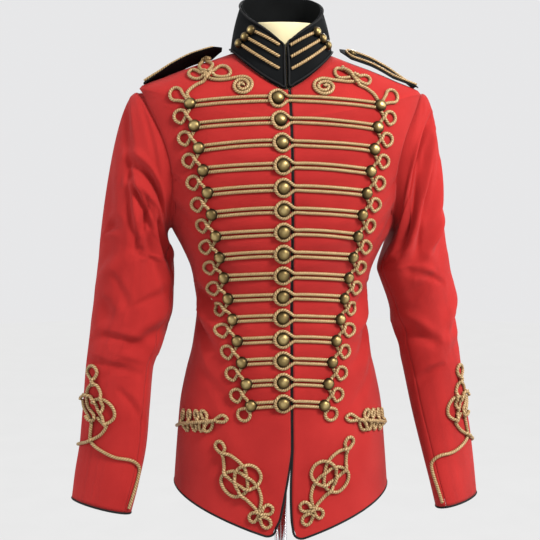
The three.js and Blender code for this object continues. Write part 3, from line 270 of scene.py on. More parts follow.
# %% [markdown]
# ## The shape of the jacket
# A tailored jacket has few flat places, and it could be sculpted, or draped by a simulation. Here it is a surface that
# is worked out from tables, because everything else has to follow it: cords, buttons and piping ask the same functions
# where the cloth is and which way it faces. Lengths are in millimetres until a mesh is made.

# %% Helpers for tables, normals and creases
def curve_through(table, column, at):
    """A smooth curve through one column of a table that never overshoots its entries."""
    keys, values = np.array(table, float)[:, 0], np.array(table, float)[:, column]
    slope = np.diff(values) / np.diff(keys)
    a, b = slope[:-1], slope[1:]
    same = a * b > 0
    inner = np.where(same, 2 * a * b / np.where(same, a + b, 1), 0)
    tangent = np.concatenate([slope[:1], inner, slope[-1:]])
    at = np.clip(np.asarray(at, float), keys[0], keys[-1])
    k = np.clip(np.searchsorted(keys, at, side="right") - 1, 0, len(keys) - 2)
    span = keys[k + 1] - keys[k]
    t = (at - keys[k]) / span
    return ((2 * t**3 - 3 * t**2 + 1) * values[k] + (t**3 - 2 * t**2 + t) * span * tangent[k]
            + (3 * t**2 - 2 * t**3) * values[k + 1] + (t**3 - t**2) * span * tangent[k + 1])


def unit(vectors):
    return vectors / np.maximum(np.linalg.norm(vectors, axis=-1, keepdims=True), 1e-9)


def stack(*parts):
    return np.stack(np.broadcast_arrays(*[np.asarray(p, float) for p in parts]), -1)


def normals_of(surface, u, v, du, dv):
    return unit(np.cross(surface(u + du, v) - surface(u - du, v), surface(u, v + dv) - surface(u, v - dv)))


RIDGE_SHARE, RIDGE_OFF, RIDGE_NARROW = 0.38, 1.9, 1.6


def creased(creases, x, y):
    """How far creases move the cloth: each is (from x, y, to x, y, width, depth, bow), with a low ridge beside it."""
    moved = np.zeros(np.broadcast(x, y).shape)
    for ax, ay, bx, by, width, depth, bow in creases:
        dx, dy = bx - ax, by - ay
        length = math.hypot(dx, dy)
        t = np.clip(((x - ax) * dx + (y - ay) * dy) / length**2, 0, 1)
        side = ((x - ax) * dy - (y - ay) * dx) / length - bow * np.sin(math.pi * t)
        past = np.hypot(x - ax - t * dx, y - ay - t * dy)
        off = np.where((t > 0) & (t < 1), np.abs(side), past) / (width * (0.75 + 0.5 * t))
        ridge = RIDGE_SHARE * np.exp(-(off - RIDGE_OFF)**2 * RIDGE_NARROW) * (side > 0)
        moved += depth * (np.exp(-off**2) - ridge) * (0.45 + 0.55 * np.sin(math.pi * t))
    return moved


print("surface helpers ready")

# %% [markdown]
# The body is a stack of soft squarish rings from the hem to the neck, narrow at the waist and wide at the chest, and a
# smooth curve runs through each column of the table. Creases are soft troughs that are drawn one by one: a simulation
# would move them about, and these pull from the armholes and the waist, where a fitted jacket is tight.

# %% The body's rings and creases
CLOTH, SEAM, LEAN = 2.0, 0.3, 0.014
PIT, TIP, NECK, HEM = 1135.0, 1345.0, 1401.0, 724.0
# level, half width, depth in front, depth behind, squareness, share of the neck's slope, share of the hem's slope
BODY = [
    (724, 172, 129, 122, 2.15, 0, 1), (800, 166, 121, 117, 2.15, 0, 0.8), (853, 161, 116, 111, 2.15, 0, 0.55),
    (899, 152, 110, 103, 2.15, 0, 0.35), (948, 140, 105, 94, 2.2, 0, 0.15), (1012, 133, 101, 87, 2.2, 0, 0),
    (1065, 141, 105, 93, 2.2, 0, 0), (1100, 155, 110, 100, 2.2, 0, 0), (1135, 173, 113, 107, 2.25, 0, 0),
    (1190, 192, 114, 112, 2.35, 0.05, 0), (1250, 205, 110, 111, 2.4, 0.22, 0), (1305, 216, 100, 102, 2.25, 0.5, 0),
    (1328, 219, 95, 97, 2.1, 0.66, 0), (1345, 219, 90, 92, 2, 0.78, 0), (1363, 180, 85, 85, 2, 0.86, 0),
    (1378, 142, 79, 78, 2, 0.92, 0), (1391, 104, 73, 71, 2, 0.97, 0), (1401, 76, 66, 64, 2, 1, 0)]
HALF, FRONT, BACK, SQUARE, NECK_SHARE, HEM_SHARE = range(1, 7)
BODY_SPREAD, BODY_FOLDS = 125.0, 1.25
# The rows of cord: how many, the highest, how far apart, how far the first and the last reach, and how far they swell.
ROWS, ROW_TOP, ROW_PITCH, ROW_REACH, ROW_SWELL = 15, 1330.0, 32.54, (142, 55), 2.6
# from angle and height, to angle and height, width, depth, bow
BODY_CREASES = [
    (166, 1042, 146, 1010, 11, -5, 3), (168, 1018, 140, 984, 12, 4, 0), (172, 1000, 150, 958, 13, -4, -3),
    (14, 1046, 32, 1016, 11, -4, 3), (10, 1022, 36, 980, 12, 4, 0), (8, 990, 30, 952, 13, -3.5, 3),
    (190, 1040, 232, 1008, 13, -5, 4), (350, 1036, 306, 1002, 13, -5, 4), (194, 1004, 240, 976, 14, 4, 0),
    (344, 998, 298, 970, 14, 4, 0), (158, 1180, 139, 1120, 14, -4, 4), (22, 1184, 41, 1126, 14, -4, 4),
    (205, 1210, 222, 1120, 16, -5, 4), (335, 1206, 318, 1116, 16, -5, 4),
    (164, 1028, 130, 1000, 5, -2.2, 2), (170, 986, 134, 950, 6, -2.0, 3), (160, 964, 142, 925, 7, 1.8, 0),
    (16, 1030, 50, 996, 5, -2.0, 2), (8, 978, 44, 936, 6, -2.0, 3), (22, 946, 40, 905, 7, 1.6, 0),
    (146, 1195, 134, 1150, 7, -1.6, 2), (34, 1200, 44, 1150, 7, -1.6, 2),
    (140, 880, 128, 800, 12, -2.0, 3), (42, 872, 54, 795, 12, -2.0, 3), (118, 830, 110, 745, 14, 1.8, 0),
    (250, 900, 238, 770, 16, 3.0, 4), (290, 905, 303, 765, 16, 3.0, 4), (270, 870, 268, 745, 14, -2.5, 2),
    (262, 1050, 236, 1000, 8, -2.4, 3), (278, 1046, 304, 992, 8, -2.4, 3), (225, 1300, 243, 1240, 12, -2.0, 3),
    (315, 1300, 297, 1238, 12, -2.0, 3), (176, 1040, 128, 1004, 5, -3.5, 3), (172, 1010, 126, 972, 6, 2.8, 3),
    (176, 988, 132, 940, 6, -3.2, 4), (4, 1048, 50, 1008, 5, -3.0, 3), (8, 1012, 52, 966, 6, 2.6, 3),
    (4, 984, 46, 930, 6, -3.0, 4), (150, 1225, 136, 1185, 5, -2.2, 2), (30, 1230, 44, 1188, 5, -2.2, 2),
    (152, 1165, 138, 1100, 6, 2.4, 3), (28, 1168, 42, 1104, 6, 2.4, 3), (150, 918, 118, 868, 8, -1.8, 4),
    (30, 915, 62, 862, 8, -1.8, 4), (126, 800, 108, 790, 9, -1.4, 2), (268, 1290, 271, 1180, 18, -2.2, 2),
    (212, 1180, 252, 1150, 9, -2.0, 3), (328, 1184, 290, 1150, 9, -2.0, 3)]
body_creases = [(math.radians(a) * BODY_SPREAD, h, math.radians(b) * BODY_SPREAD, low, w, d, bow)
                for a, h, b, low, w, d, bow in BODY_CREASES]


def ring_reach(level, c, s):
    square = curve_through(BODY, SQUARE, level)
    return (np.abs(c)**square + np.abs(s)**square)**(-1 / square)


def plain_body(level, angle):
    """The middle of the cloth: angle 0 is the wearer's left side and a quarter turn the middle of the front."""
    c, s = np.cos(angle), np.sin(angle)
    reach = ring_reach(level, c, s)
    x = curve_through(BODY, HALF, level) * reach * c
    depth = np.where(s > 0, curve_through(BODY, FRONT, level), curve_through(BODY, BACK, level))
    neck = np.where(s > 0, -56, 20) * (1 - np.abs(c)**1.4)
    hem = np.where(s > 0, -60, -12) * (1 - np.abs(c)**1.1)
    rise = curve_through(BODY, NECK_SHARE, level) * neck + curve_through(BODY, HEM_SHARE, level) * hem
    return stack(x, -depth * reach * s, level + rise - LEAN * x)


def body_normal(level, angle):
    return normals_of(plain_body, level, angle, 1.5, 0.02)


def between_rows(base, frontness):
    """The cloth swells softly between the rows of cord that are sewn across it."""
    row = (ROW_TOP - base[..., 2]) / ROW_PITCH
    reach = ROW_REACH[0] - (ROW_REACH[0] - ROW_REACH[1]) * np.clip(row / (ROWS - 1), 0, 1)
    across_row = np.clip((reach + 6 - np.abs(base[..., 0])) / 22, 0, 1)
    inside = across_row * np.clip(row + 0.2, 0, 1) * np.clip(ROWS - 0.8 - row, 0, 1)
    uneven = 1 + 0.35 * np.sin(base[..., 0] / 19 + row * 1.7)
    return np.where(frontness > 0.15, ROW_SWELL * uneven * np.sin(math.pi * row)**2 * inside, 0.0)


def body_point(level, angle, lift=0.0):
    level, angle = np.broadcast_arrays(np.asarray(level, float), np.asarray(angle, float))
    turn = np.mod(angle, 2 * math.pi)
    base = plain_body(level, angle)
    fold = BODY_FOLDS * creased(body_creases, turn * BODY_SPREAD, level) + between_rows(base, np.sin(angle))
    return base + body_normal(level, angle) * (fold + lift)[..., None]


def body_at(x, z):
    """The level and angle on the front that lie at x and z."""
    x, z = np.asarray(x, float), np.asarray(z, float)
    level, angle = z.copy(), np.full(z.shape, math.pi / 2)
    for _ in range(24):
        reach = ring_reach(level, np.cos(angle), np.sin(angle))
        angle = np.arccos(np.clip(x / (curve_through(BODY, HALF, level) * reach), -0.999, 0.999))
        level = level + 0.7 * (z - plain_body(level, angle)[..., 2])
    return level, angle


print("waist", plain_body(1012.0, 0.0)[0].round(1), "mm from the middle,", len(BODY_CREASES), "creases")

# %% [markdown]
# A sleeve is set into an armhole that is cut out of the fronts and the backs, and hangs down and a little forward. It
# could be a straight tube joined on, but the cap would then crease at the shoulder. So the first part of the tube
# blends from the armhole's own curve to the first ring of the arm, and the rest is read from a table as the body is.

# %% The armhole and the sleeves' tables
ARMHOLE_MIDDLE, ARMHOLE_HALF = (PIT + TIP) / 2, (TIP - PIT) / 2
ARMHOLE_TURN, ARMHOLE_GAP = 0.62, 0.7
# step down the arm, x, y, z, half length, half breadth, turn
SLEEVES = {
    "right": [(0, 229, 2, 1085, 57, 64, 0), (0.16, 233, 0, 1025, 61, 60, 4), (0.3, 243, -6, 975, 58, 54, 10),
              (0.45, 256, -13, 920, 52, 47, 16), (0.62, 262, -22, 858, 53, 41, 22), (0.78, 268, -31, 798, 55, 35, 27),
              (0.9, 278, -37, 747, 55, 32, 30), (1, 287, -43, 703, 53, 30, 33)],
    "left": [(0, 213, 2, 1075, 57, 64, 0), (0.16, 227, 0, 1018, 51, 60, 6), (0.3, 235, -6, 965, 48, 52, 12),
             (0.45, 244, -13, 910, 46, 44, 20), (0.62, 254, -22, 848, 47, 36, 27), (0.78, 265, -31, 790, 50, 30, 36),
             (0.9, 274, -37, 740, 52, 26, 43), (1, 281, -42, 696, 51, 25, 48)]}
# from angle and way, to angle and way, width, depth, bow; 0 degrees is the outer side, 90 the front
SLEEVE_CREASES = {
    "right": [(128, 0.45, 158, 0.98, 12, -8, 4), (96, 0.5, 116, 1.16, 12, -5, 5), (30, 1.08, 74, 1.0, 12, 4, 0),
              (118, 1.36, 176, 1.27, 12, -6, 4), (52, 1.2, 66, 1.3, 13, -4, 0), (205, 1.34, 262, 1.24, 14, -6, 4),
              (300, 1.05, 250, 1.2, 14, -5, 4), (112, 0.4, 138, 0.9, 5, 2.2, 4), (70, 0.35, 84, 0.8, 16, 2.5, 4),
              (104, 1.18, 160, 1.12, 7, -2.6, 3), (40, 1.38, 92, 1.34, 9, -2.4, 3), (84, 1.5, 130, 1.44, 9, -2, 3),
              (20, 0.55, 44, 0.9, 12, -2.2, 4), (330, 0.6, 300, 1.0, 12, -3, 4), (340, 1.3, 300, 1.42, 10, -3, 3),
              (60, 1.06, 96, 1.24, 6, -2, 3), (51, 0.417, 117, 0.244, 6.5, -8, 3), (56, 0.52, 114, 0.34, 6, 4.5, 3),
              (63, 0.456, 104, 0.60, 5.5, -5.5, 2), (53, 0.433, 95, 0.913, 6, -6, 4), (64, 0.50, 92, 0.80, 6.5, 4, 3),
              (96, 0.48, 86, 0.87, 5, -4, 2), (31, 0.82, 59, 0.737, 5, -3.5, 2), (16, 0.87, 54, 0.81, 5, 2.5, 2),
              (4, 0.20, 52, 0.407, 8, -4, 3), (19, 0.04, 87, 0.19, 6, -4, 3), (36, 1.446, 144, 1.483, 5.5, -3, 4),
              (113, 1.556, 161, 1.686, 6, -3.5, 3), (66, 1.344, 146, 1.364, 6, -4, 4), (86, 1.40, 150, 1.42, 6, 2.5, 3),
              (120, 0.95, 150, 1.15, 7, -4, 3), (24, 1.62, 46, 1.72, 6, -2, 2)],
    "left": [(40, 0.2, 118, 0.62, 15, -8, 5), (44, 0.42, 92, 0.95, 13, -6, 5), (30, 0.85, 58, 1.02, 12, -4, 3),
             (66, 1.26, 22, 1.14, 13, 5, 0), (108, 1.34, 170, 1.28, 12, -6, 4), (205, 1.34, 262, 1.24, 14, -6, 4),
             (300, 1.05, 250, 1.2, 14, -5, 4), (60, 0.3, 110, 0.8, 5, 2.2, 4), (20, 0.3, 60, 0.5, 8, 2.4, 3),
             (70, 1.05, 130, 1.14, 8, -2.6, 3), (30, 1.36, 80, 1.42, 9, -2.6, 3), (0, 0.5, 30, 0.9, 12, -2.4, 4),
             (330, 0.6, 300, 1.0, 12, -3, 4), (340, 1.3, 300, 1.42, 10, -3, 3), (84, 0.7, 120, 1.1, 9, -2.4, 4),
             (25, 0.253, 108, 0.30, 6.5, -8, 5), (30, 0.36, 74, 0.62, 6.5, -6, 3), (76, 0.60, 92, 0.95, 6.5, -4, 3),
             (20, 0.50, 52, 0.80, 8, 4, 3), (108, 0.36, 122, 0.72, 8, -6, 3), (12, 0.79, 62, 0.917, 5, -4.5, 3),
             (18, 0.70, 66, 0.84, 5, 3.5, 3), (37, 0.336, 72, 0.478, 6, 3.5, 2), (64, 1.10, 110, 1.02, 6, -3.5, 3),
             (22, 1.24, 62, 1.34, 6, -3, 3), (100, 1.45, 150, 1.5, 6, -3, 3), (10, 0.05, 60, 0.16, 7, -3, 3)]}
SLEEVE_SPREAD, SLEEVE_FOLDS, BLEND_LENGTH, TUBE_LENGTH = 55.0, 1.35, 200.0, 380.0
CENTRE, LONG, BROAD, RING_TURN = (1, 2, 3), 4, 5, 6
print("creases on each sleeve", {side: len(creases) for side, creases in SLEEVE_CREASES.items()})


# %% The sleeves' surface
def way_length(way):
    return np.minimum(way, 1) * BLEND_LENGTH + np.maximum(np.asarray(way, float) - 1, 0) * TUBE_LENGTH


sleeve_creases = {
    side: [(math.radians(a) * SLEEVE_SPREAD, float(way_length(h)), math.radians(b) * SLEEVE_SPREAD,
            float(way_length(low)), w, d, bow) for a, h, b, low, w, d, bow in creases]
    for side, creases in SLEEVE_CREASES.items()}


def sleeve_ring(table, step):
    middle = stack(*[curve_through(table, k, step) for k in CENTRE])
    to = np.minimum(step + 0.01, 1)
    down = unit(stack(*[curve_through(table, k, to) - curve_through(table, k, to - 0.02) for k in CENTRE]))
    turn = np.radians(curve_through(table, RING_TURN, step))
    long = stack(np.cos(turn), np.sin(turn), 0)
    long = unit(long - down * (long * down).sum(-1, keepdims=True))
    return middle, down, long, np.cross(down, long)


def sleeve_tube(table, step, turn):
    middle, _, long, broad = sleeve_ring(table, step)
    return (middle + long * (curve_through(table, LONG, step) * np.cos(turn))[..., None]
            + broad * (curve_through(table, BROAD, step) * np.sin(turn))[..., None])


def armhole(turn):
    level = ARMHOLE_MIDDLE + (ARMHOLE_HALF - ARMHOLE_GAP) * np.cos(turn)
    return level, (ARMHOLE_TURN - ARMHOLE_GAP / 100) * np.sin(turn)


def plain_sleeve(table, way, turn):
    """The middle of a left sleeve's cloth: way 0 is the armhole, 1 the end of the blend, 2 the cuff."""
    way, turn = np.broadcast_arrays(np.clip(way, 0, 2), np.asarray(turn, float))
    start = plain_body(*armhole(turn))
    end = sleeve_tube(table, np.zeros(way.shape), turn)
    chord = np.linalg.norm(start - end, axis=-1)
    low = (1 - np.cos(turn)) / 2
    out = unit(stack(0.9, -0.25 * np.sin(turn), 0.60 * (1 - low)**3 - 0.15 - 0.1 * low))
    down = sleeve_ring(table, np.zeros(way.shape))[1]
    w = np.minimum(way, 1)
    blend = (start * (2 * w**3 - 3 * w**2 + 1)[..., None]
             + out * ((w**3 - 2 * w**2 + w) * chord * (0.42 + 0.48 * low))[..., None]
             + end * (3 * w**2 - 2 * w**3)[..., None]
             + down * ((w**3 - w**2) * chord * (0.6 + 0.3 * low))[..., None])
    return np.where((way >= 1)[..., None], sleeve_tube(table, np.maximum(way - 1, 0), turn), blend)


def sleeve_normal(side, way, turn):
    table = SLEEVES[side]
    normal = normals_of(lambda w, t: plain_sleeve(table, w, t), way, turn, 0.02, 0.04)
    way, turn = np.broadcast_arrays(np.asarray(way, float), np.asarray(turn, float))
    middle = np.where((way >= 1)[..., None], sleeve_ring(table, np.maximum(way - 1, 0))[0],
                      plain_sleeve(table, way, turn + math.pi))
    outward = ((plain_sleeve(table, way, turn) - middle) * normal).sum(-1, keepdims=True)
    return np.where(outward < 0, -normal, normal)


def sleeve_point(side, way, turn, lift=0.0):
    way, turn = np.broadcast_arrays(np.asarray(way, float), np.asarray(turn, float))
    around = np.mod(turn, 2 * math.pi)
    fold = SLEEVE_FOLDS * creased(sleeve_creases[side], around * SLEEVE_SPREAD, way_length(way))
    fold = fold * np.clip(way / 0.25, 0, 1)
    share = np.clip(way / 0.12, 0, 1)[..., None]
    normal = unit(body_normal(*armhole(turn)) * (1 - share) + sleeve_normal(side, way, turn) * share)
    return plain_sleeve(SLEEVES[side], way, turn) + normal * (fold + lift)[..., None]


print("right cuff middle", sleeve_ring(SLEEVES["right"], np.float64(1))[0].round(0))


# %% [markdown]
# ## Meshes
# A piece of cloth has two faces and a cut edge. A flat sheet with a thickness modifier would do, but a wall that is
# built from an outer and an inner grid keeps its edges exact where two pieces are sewn together. Each point also keeps
# its lengths along and across the cloth, which give the weave its direction.

# %% From arrays to pieces
def make_piece(name, points, faces, material, slot, replaces=(), **attributes):
    """A mesh object in metres that rides on the jacket's body and stands for CAD nodes."""
    mesh = bpy.data.meshes.new(name)
    mesh.from_pydata((np.asarray(points) / 1000).tolist(), [], [list(map(int, f)) for f in faces])
    mesh.validate()
    mesh.polygons.foreach_set("use_smooth", np.full(len(mesh.polygons), True))
    for key, values in attributes.items():
        mesh.attributes.new(key, "FLOAT", "POINT").data.foreach_set("value", np.asarray(values, np.float32))
    mesh.materials.append(material)
    piece = bpy.data.objects.new(name, mesh)
    bpy.context.scene.collection.objects.link(piece)
    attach(piece, "root")
    if replaces:
        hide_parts(*replaces)
    return piece


def grid_faces(rows, columns, start=0, around=False):
    r, c = np.meshgrid(np.arange(rows - 1), np.arange(columns if around else columns - 1), indexing="ij")
    n = (c + 1) % columns
    return (start + np.stack([r * columns + c, r * columns + n, (r + 1) * columns + n, (r + 1) * columns + c],
                             -1)).reshape(-1, 4)


def facing_out(points, faces, middle):
    """The faces of a closed solid, all turned over if they look towards its middle."""
    a, b, c = (points[np.array([f[k] for f in faces])] - middle for k in range(3))
    return [f[::-1] for f in faces] if (np.cross(b - a, c - a) * a).sum() < 0 else faces


def cloth_wall(outer, inner):
    """A closed wall between two grids of the same shape, facing out on the outer one."""
    rows, columns = outer.shape[:2]
    count = rows * columns
    faces = [grid_faces(rows, columns), grid_faces(rows, columns, count)[:, ::-1]]
    rim = np.concatenate([np.arange(columns), np.arange(2 * columns - 1, count, columns),
                          np.arange(count - 2, count - columns - 1, -1), np.arange(count - 2 * columns, 0, -columns)])
    nxt = np.roll(rim, -1)
    faces.append(np.stack([nxt, rim, rim + count, nxt + count], -1))
    faces = np.concatenate(faces)
    points = np.concatenate([outer.reshape(-1, 3), inner.reshape(-1, 3)])
    a, b, c, d = (points[faces[:, k]] for k in range(4))
    volume = (np.cross(b - a, c - a) * a).sum() + (np.cross(c - a, d - a) * a).sum()
    return points, faces if volume > 0 else faces[:, ::-1]


def lay_lengths(grid):
    """Lengths along a grid's rows and columns, which give the weave its directions."""
    def run(axis):
        step = np.linalg.norm(np.diff(grid, axis=axis), axis=-1)
        return np.concatenate([np.zeros_like(step.take([0], axis)), step.cumsum(axis)], axis)
    return run(1), run(0)


def area_of(grid):
    a, b, c, d = grid[:-1, :-1], grid[:-1, 1:], grid[1:, 1:], grid[1:, :-1]
    one, other = (np.linalg.norm(np.cross(p - a, q - a), axis=-1) for p, q in ((b, c), (c, d)))
    return 0.5 * (one + other).sum()


def cloth_piece(name, outer, inner, material, slot, replaces, cut):
    """One cut piece of cloth. cut is the width and length of its pattern piece, in millimetres."""
    points, faces = cloth_wall(outer, inner)
    weft, warp = (np.tile(run.reshape(-1), 2) for run in lay_lengths(outer))
    piece = make_piece(name, points, faces, material, slot, replaces, weft=weft, warp=warp)
    shown = area_of((outer + inner) / 2)
    print(f"{name}: {len(faces)} faces, {shown / 1e4:.1f} dm2 of cloth, cut from {cut[0]:.0f} x {cut[1]:.0f} mm")


print("mesh helpers ready")

# %% [markdown]
# ## Cloth
# Two fronts and two backs hang from the shoulders to the hem and share the armholes. They could be one tube with lines
# drawn on it for seams. Cut pieces are truer: each is a thin wall over the rings, pressed in a little along its own
# seams, as sewing does, and the fronts part below the last row of cord.

# %% Fronts and backs
FRONT_EDGE, BEAD, SKIRT_OPENS, HEM_CORNER = 6.0, 1.1, 838.0, 16.0
levels = np.concatenate([
    HEM + 16 * (1 - np.cos(np.linspace(0, math.pi / 2, 7)[:-1])), np.linspace(HEM + 16, PIT, 68)[:-1],
    ARMHOLE_MIDDLE - ARMHOLE_HALF * np.cos(np.linspace(0, math.pi, 48)), np.linspace(TIP, NECK, 14)[1:]])
in_armhole = (levels > PIT) & (levels < TIP)
armhole_turn = np.arccos(np.clip((levels - ARMHOLE_MIDDLE) / ARMHOLE_HALF, -1, 1))
opening = np.where(in_armhole, ARMHOLE_TURN * np.sin(armhole_turn), 0.0)


def front_edge(side, level):
    """How far the front edge stands from the middle: the skirts part below the last row of cord."""
    parting = np.clip((SKIRT_OPENS - level) / (SKIRT_OPENS - HEM), 0, 1)
    sweep = -25 * parting**1.1 if side == "right" else -3 * np.sin(math.pi * parting)
    return FRONT_EDGE + sweep + (-2 if side == "right" else 2) * BEAD


def edge_angle(level, x):
    return np.arccos(np.clip(x / curve_through(BODY, HALF, level), -1, 1))


def corner_lift(level, from_edge):
    near = np.clip(1 - from_edge / HEM_CORNER, 0, 1)
    low = np.clip(1 - (level - HEM) / (1.6 * HEM_CORNER), 0, 1)
    return HEM_CORNER * (1 - np.sqrt(1 - near**2)) * low


def pressed(distance, depth=0.8, reach=2.2):
    return -depth * np.exp(-(distance / reach)**2)


def front_panel(side, lift):
    level = levels[:, None]
    half = curve_through(BODY, HALF, level)
    inward = -1 if side == "left" else 1
    gap = SEAM / 2 / curve_through(BODY, FRONT, level)
    edge = edge_angle(level, front_edge(side, level))
    seam = opening[:, None] + gap if side == "left" else math.pi - opening[:, None] - gap
    near = 28 * np.cos(np.linspace(0, math.pi / 2, 15))[None, :]
    last = edge + inward * 28 / half
    share = np.linspace(0, 1, 44)[None, :-1]
    angle = np.concatenate([seam + (last - seam) * share, edge + inward * near / half], 1)
    from_edge = np.concatenate([np.full(share.shape, 99.0), near], 1) * np.ones_like(level)
    level = level * np.ones_like(angle)
    press = pressed(np.abs(angle - seam) * half)
    point = body_point(level, angle, lift + press)
    point[..., 2] += corner_lift(level, from_edge)
    return point


def back_panel(side, lift):
    level = levels[:, None]
    seam = opening[:, None] + SEAM / 2 / curve_through(BODY, BACK, level)
    middle = math.pi / 2 - SEAM / 2 / curve_through(BODY, HALF, level)
    turn = seam + (middle - seam) * np.linspace(0, 1, 56)[None, :]
    half = curve_through(BODY, HALF, level)
    press = pressed((turn - seam) * half) + pressed((middle - turn) * half, 1.0)
    return body_point(level * np.ones_like(turn), -turn if side == "left" else math.pi + turn, lift + press)


def cut_of(grid):
    """The width and length of the pattern piece that a grid of cloth was cut from."""
    along, down = lay_lengths(grid)
    return float(along.max()), float(down.max())


for side in ("left", "right"):
    for part, panel in (("front", front_panel), ("back", back_panel)):
        outer, inner = panel(side, CLOTH / 2), panel(side, -CLOTH / 2)
        cloth_piece(f"{part}_{side}_cloth", outer, inner, scarlet_wool, "scarlet_wool", [f"{part}_{side}"],
                    cut_of(outer))

# %% [markdown]
# Each sleeve has two pieces: the top sleeve over the outside of the arm and the under sleeve next to the body, with
# seams at the inner front and at the back. Both are read from the same tube, so their edges meet without any fitting.
# A turning of cloth runs on under the body's edge, as a real seam's does, and closes the gap at the armhole.

# %% Sleeves
SIDES_ROUND, FORE_SEAM, HIND_SEAM = 20, 9, 15
ways = np.concatenate([np.linspace(0, 1, 78)[:-1], np.linspace(1, 2, 92)])
# The seam allowance that is turned under the body's cloth: how far past the armhole's edge, and how deep.
TURNINGS = [(4.0, -2.5), (2.0, -2.5), (0.4, -2.3), (-0.2, -1.6)]


def turned_over(points, side):
    """The right sleeve is built on the left and turned over."""
    return points * np.array([-1 if side == "right" else 1, 1, 1])


def sleeve_piece(side, first, last, columns, lift):
    gap = SEAM / 2 / SLEEVE_SPREAD * 1.5
    step = 2 * math.pi / SIDES_ROUND
    turn = np.linspace(first * step + gap, last * step - gap, columns)[None, :]
    edge = np.minimum(turn - turn[:, :1], turn[:, -1:] - turn) * SLEEVE_SPREAD
    sleeve = sleeve_point(side, ways[:, None], turn, lift + pressed(edge))
    rows = []
    for past, sunk in TURNINGS:
        past = past * (1 - 0.8 * np.clip(np.cos(turn), 0, 1)**4)
        level = ARMHOLE_MIDDLE + (ARMHOLE_HALF + past) * np.cos(turn)
        angle = (ARMHOLE_TURN + past / 100) * np.sin(turn)
        rows.append(plain_body(level, angle) + body_normal(level, angle) * (sunk + lift))
    return turned_over(np.concatenate([*rows, sleeve]), side)


for side in ("left", "right"):
    for name, first, last, columns in (("sleeve_top", HIND_SEAM - SIDES_ROUND, FORE_SEAM, 112),
                                       ("sleeve_under", FORE_SEAM, HIND_SEAM, 48)):
        outer, inner = (sleeve_piece(side, first, last, columns, lift) for lift in (CLOTH / 2, -CLOTH / 2))
        cloth_piece(f"{name}_{side}_cloth", outer, inner, scarlet_wool, "scarlet_wool", [f"{name}_{side}"],
                    cut_of(outer))

# %% [markdown]
# ## The dress form
# The form is padded and covered in cream jersey, with no arms and a flat neck. It could be any smooth bust, but it has
# to stay inside the jacket, so it is the body's own rings drawn in by a few millimetres. On the shoulders it comes
# close to the cloth and carries it. The pole and the base are turned shapes, so a profile spun round says it all.

# %% The form, its pole and its base
FORM_LOW, FORM_TOP, POLE, BASE_ACROSS, BASE_HEIGHT = 850.0, 1445.0, 21.0, 400.0, 14.0
# How far the form keeps inside the middle of the cloth: below the shoulders, and on them behind and more in front.
INSET, SHOULDER_INSET, SHOULDER_INSET_AHEAD = 11, 1.55, 1.65


def rings_piece(name, rings, material, slot, replaces):
    count, sides = rings.shape[:2]
    points = np.concatenate([rings.reshape(-1, 3), rings[:1].mean(1), rings[-1:].mean(1)])
    faces = grid_faces(count, sides, around=True).tolist()
    low, high, top = count * sides, count * sides + 1, (count - 1) * sides
    for s in range(sides):
        faces += [[(s + 1) % sides, s, low], [top + s, top + (s + 1) % sides, high]]
    faces = facing_out(points, faces, rings.mean((0, 1)))
    weft, warp = ([*run.reshape(-1), 0, 0] for run in lay_lengths(rings))
    make_piece(name, points, faces, material, slot, replaces, weft=weft, warp=warp)


def form_rings():
    rows = levels[levels > FORM_LOW][::2]
    rows = np.concatenate([[FORM_LOW], rows[:-1], [NECK]])
    rings = []
    for level in rows:
        gap = np.interp(level, levels, opening)
        half_turn = (math.pi - 2 * gap) * np.linspace(0, 1, 49)[:-1]
        angle = np.concatenate([gap + half_turn, math.pi + gap + half_turn])
        shoulder = np.clip((level - 1300) / 45, 0, 1)
        ahead_share = 0.5 + 0.5 * np.clip(np.sin(angle) * 4, -1, 1)
        inset = INSET + ((SHOULDER_INSET + SHOULDER_INSET_AHEAD * ahead_share) - INSET) * shoulder
        here = np.full(angle.shape, level)
        ring = plain_body(here, angle) - body_normal(here, angle) * inset[:, None]
        if level == FORM_LOW:
            ring[:, 2] = FORM_LOW
        rings.append(ring)
    foot = rings[-1] * np.array([0.84, 0.76, 1]) + np.array([0, 0, 5])
    for share in np.linspace(0, 1, 12):
        ring = foot * np.array([1 - 0.1 * share, 1 - 0.06 * share, 1])
        ring[:, 2] = foot[:, 2] + (FORM_TOP - foot[:, 2]) * share
        rings.append(ring)
    for turn in np.linspace(0.2, 1, 5) * math.pi / 2:
        ring = foot * np.array([0.9 - 0.045 * (1 - math.cos(turn)), 0.94 - 0.06 * (1 - math.cos(turn)), 1])
        ring[:, 2] = FORM_TOP + 2.2 * math.sin(turn)
        rings.append(ring)
    return np.array(rings)


def lathed_rings(profile, sides):
    turn = np.linspace(0, 2 * math.pi, sides, endpoint=False)
    return np.array([np.stack([r * np.cos(turn), r * np.sin(turn), np.full(sides, z)], -1) for r, z in profile])


rings_piece("form_neck_and_chest", form_rings(), cream_jersey, "cream_form", ["form_torso"])
rings_piece("form_pole_tube", lathed_rings([(POLE / 2, BASE_HEIGHT), (POLE / 2, FORM_LOW - SEAM)], 48), chrome,
            "chrome_pole", ["form_pole"])
rings_piece("form_base_disc", lathed_rings(
    [(BASE_ACROSS / 2 - 1, 0), (BASE_ACROSS / 2, 1), (BASE_ACROSS / 2, 5), (BASE_ACROSS / 2 - 2, 8),
     (BASE_ACROSS / 2 - 8, 10), (60, BASE_HEIGHT - 0.4), (14, BASE_HEIGHT)], 96), chrome, "chrome_base", ["form_base"])
print("form, pole and base made")

# %% [markdown]
# ## Collar and shoulder straps
# The collar is stiff black cloth, higher at the back, and its two ends almost meet at the front. It stands up from the
# neck seam, so it is a band between two curves: the foot follows the body's top ring and the top follows a table of
# heights. A little belly between them keeps it from looking like bent card.

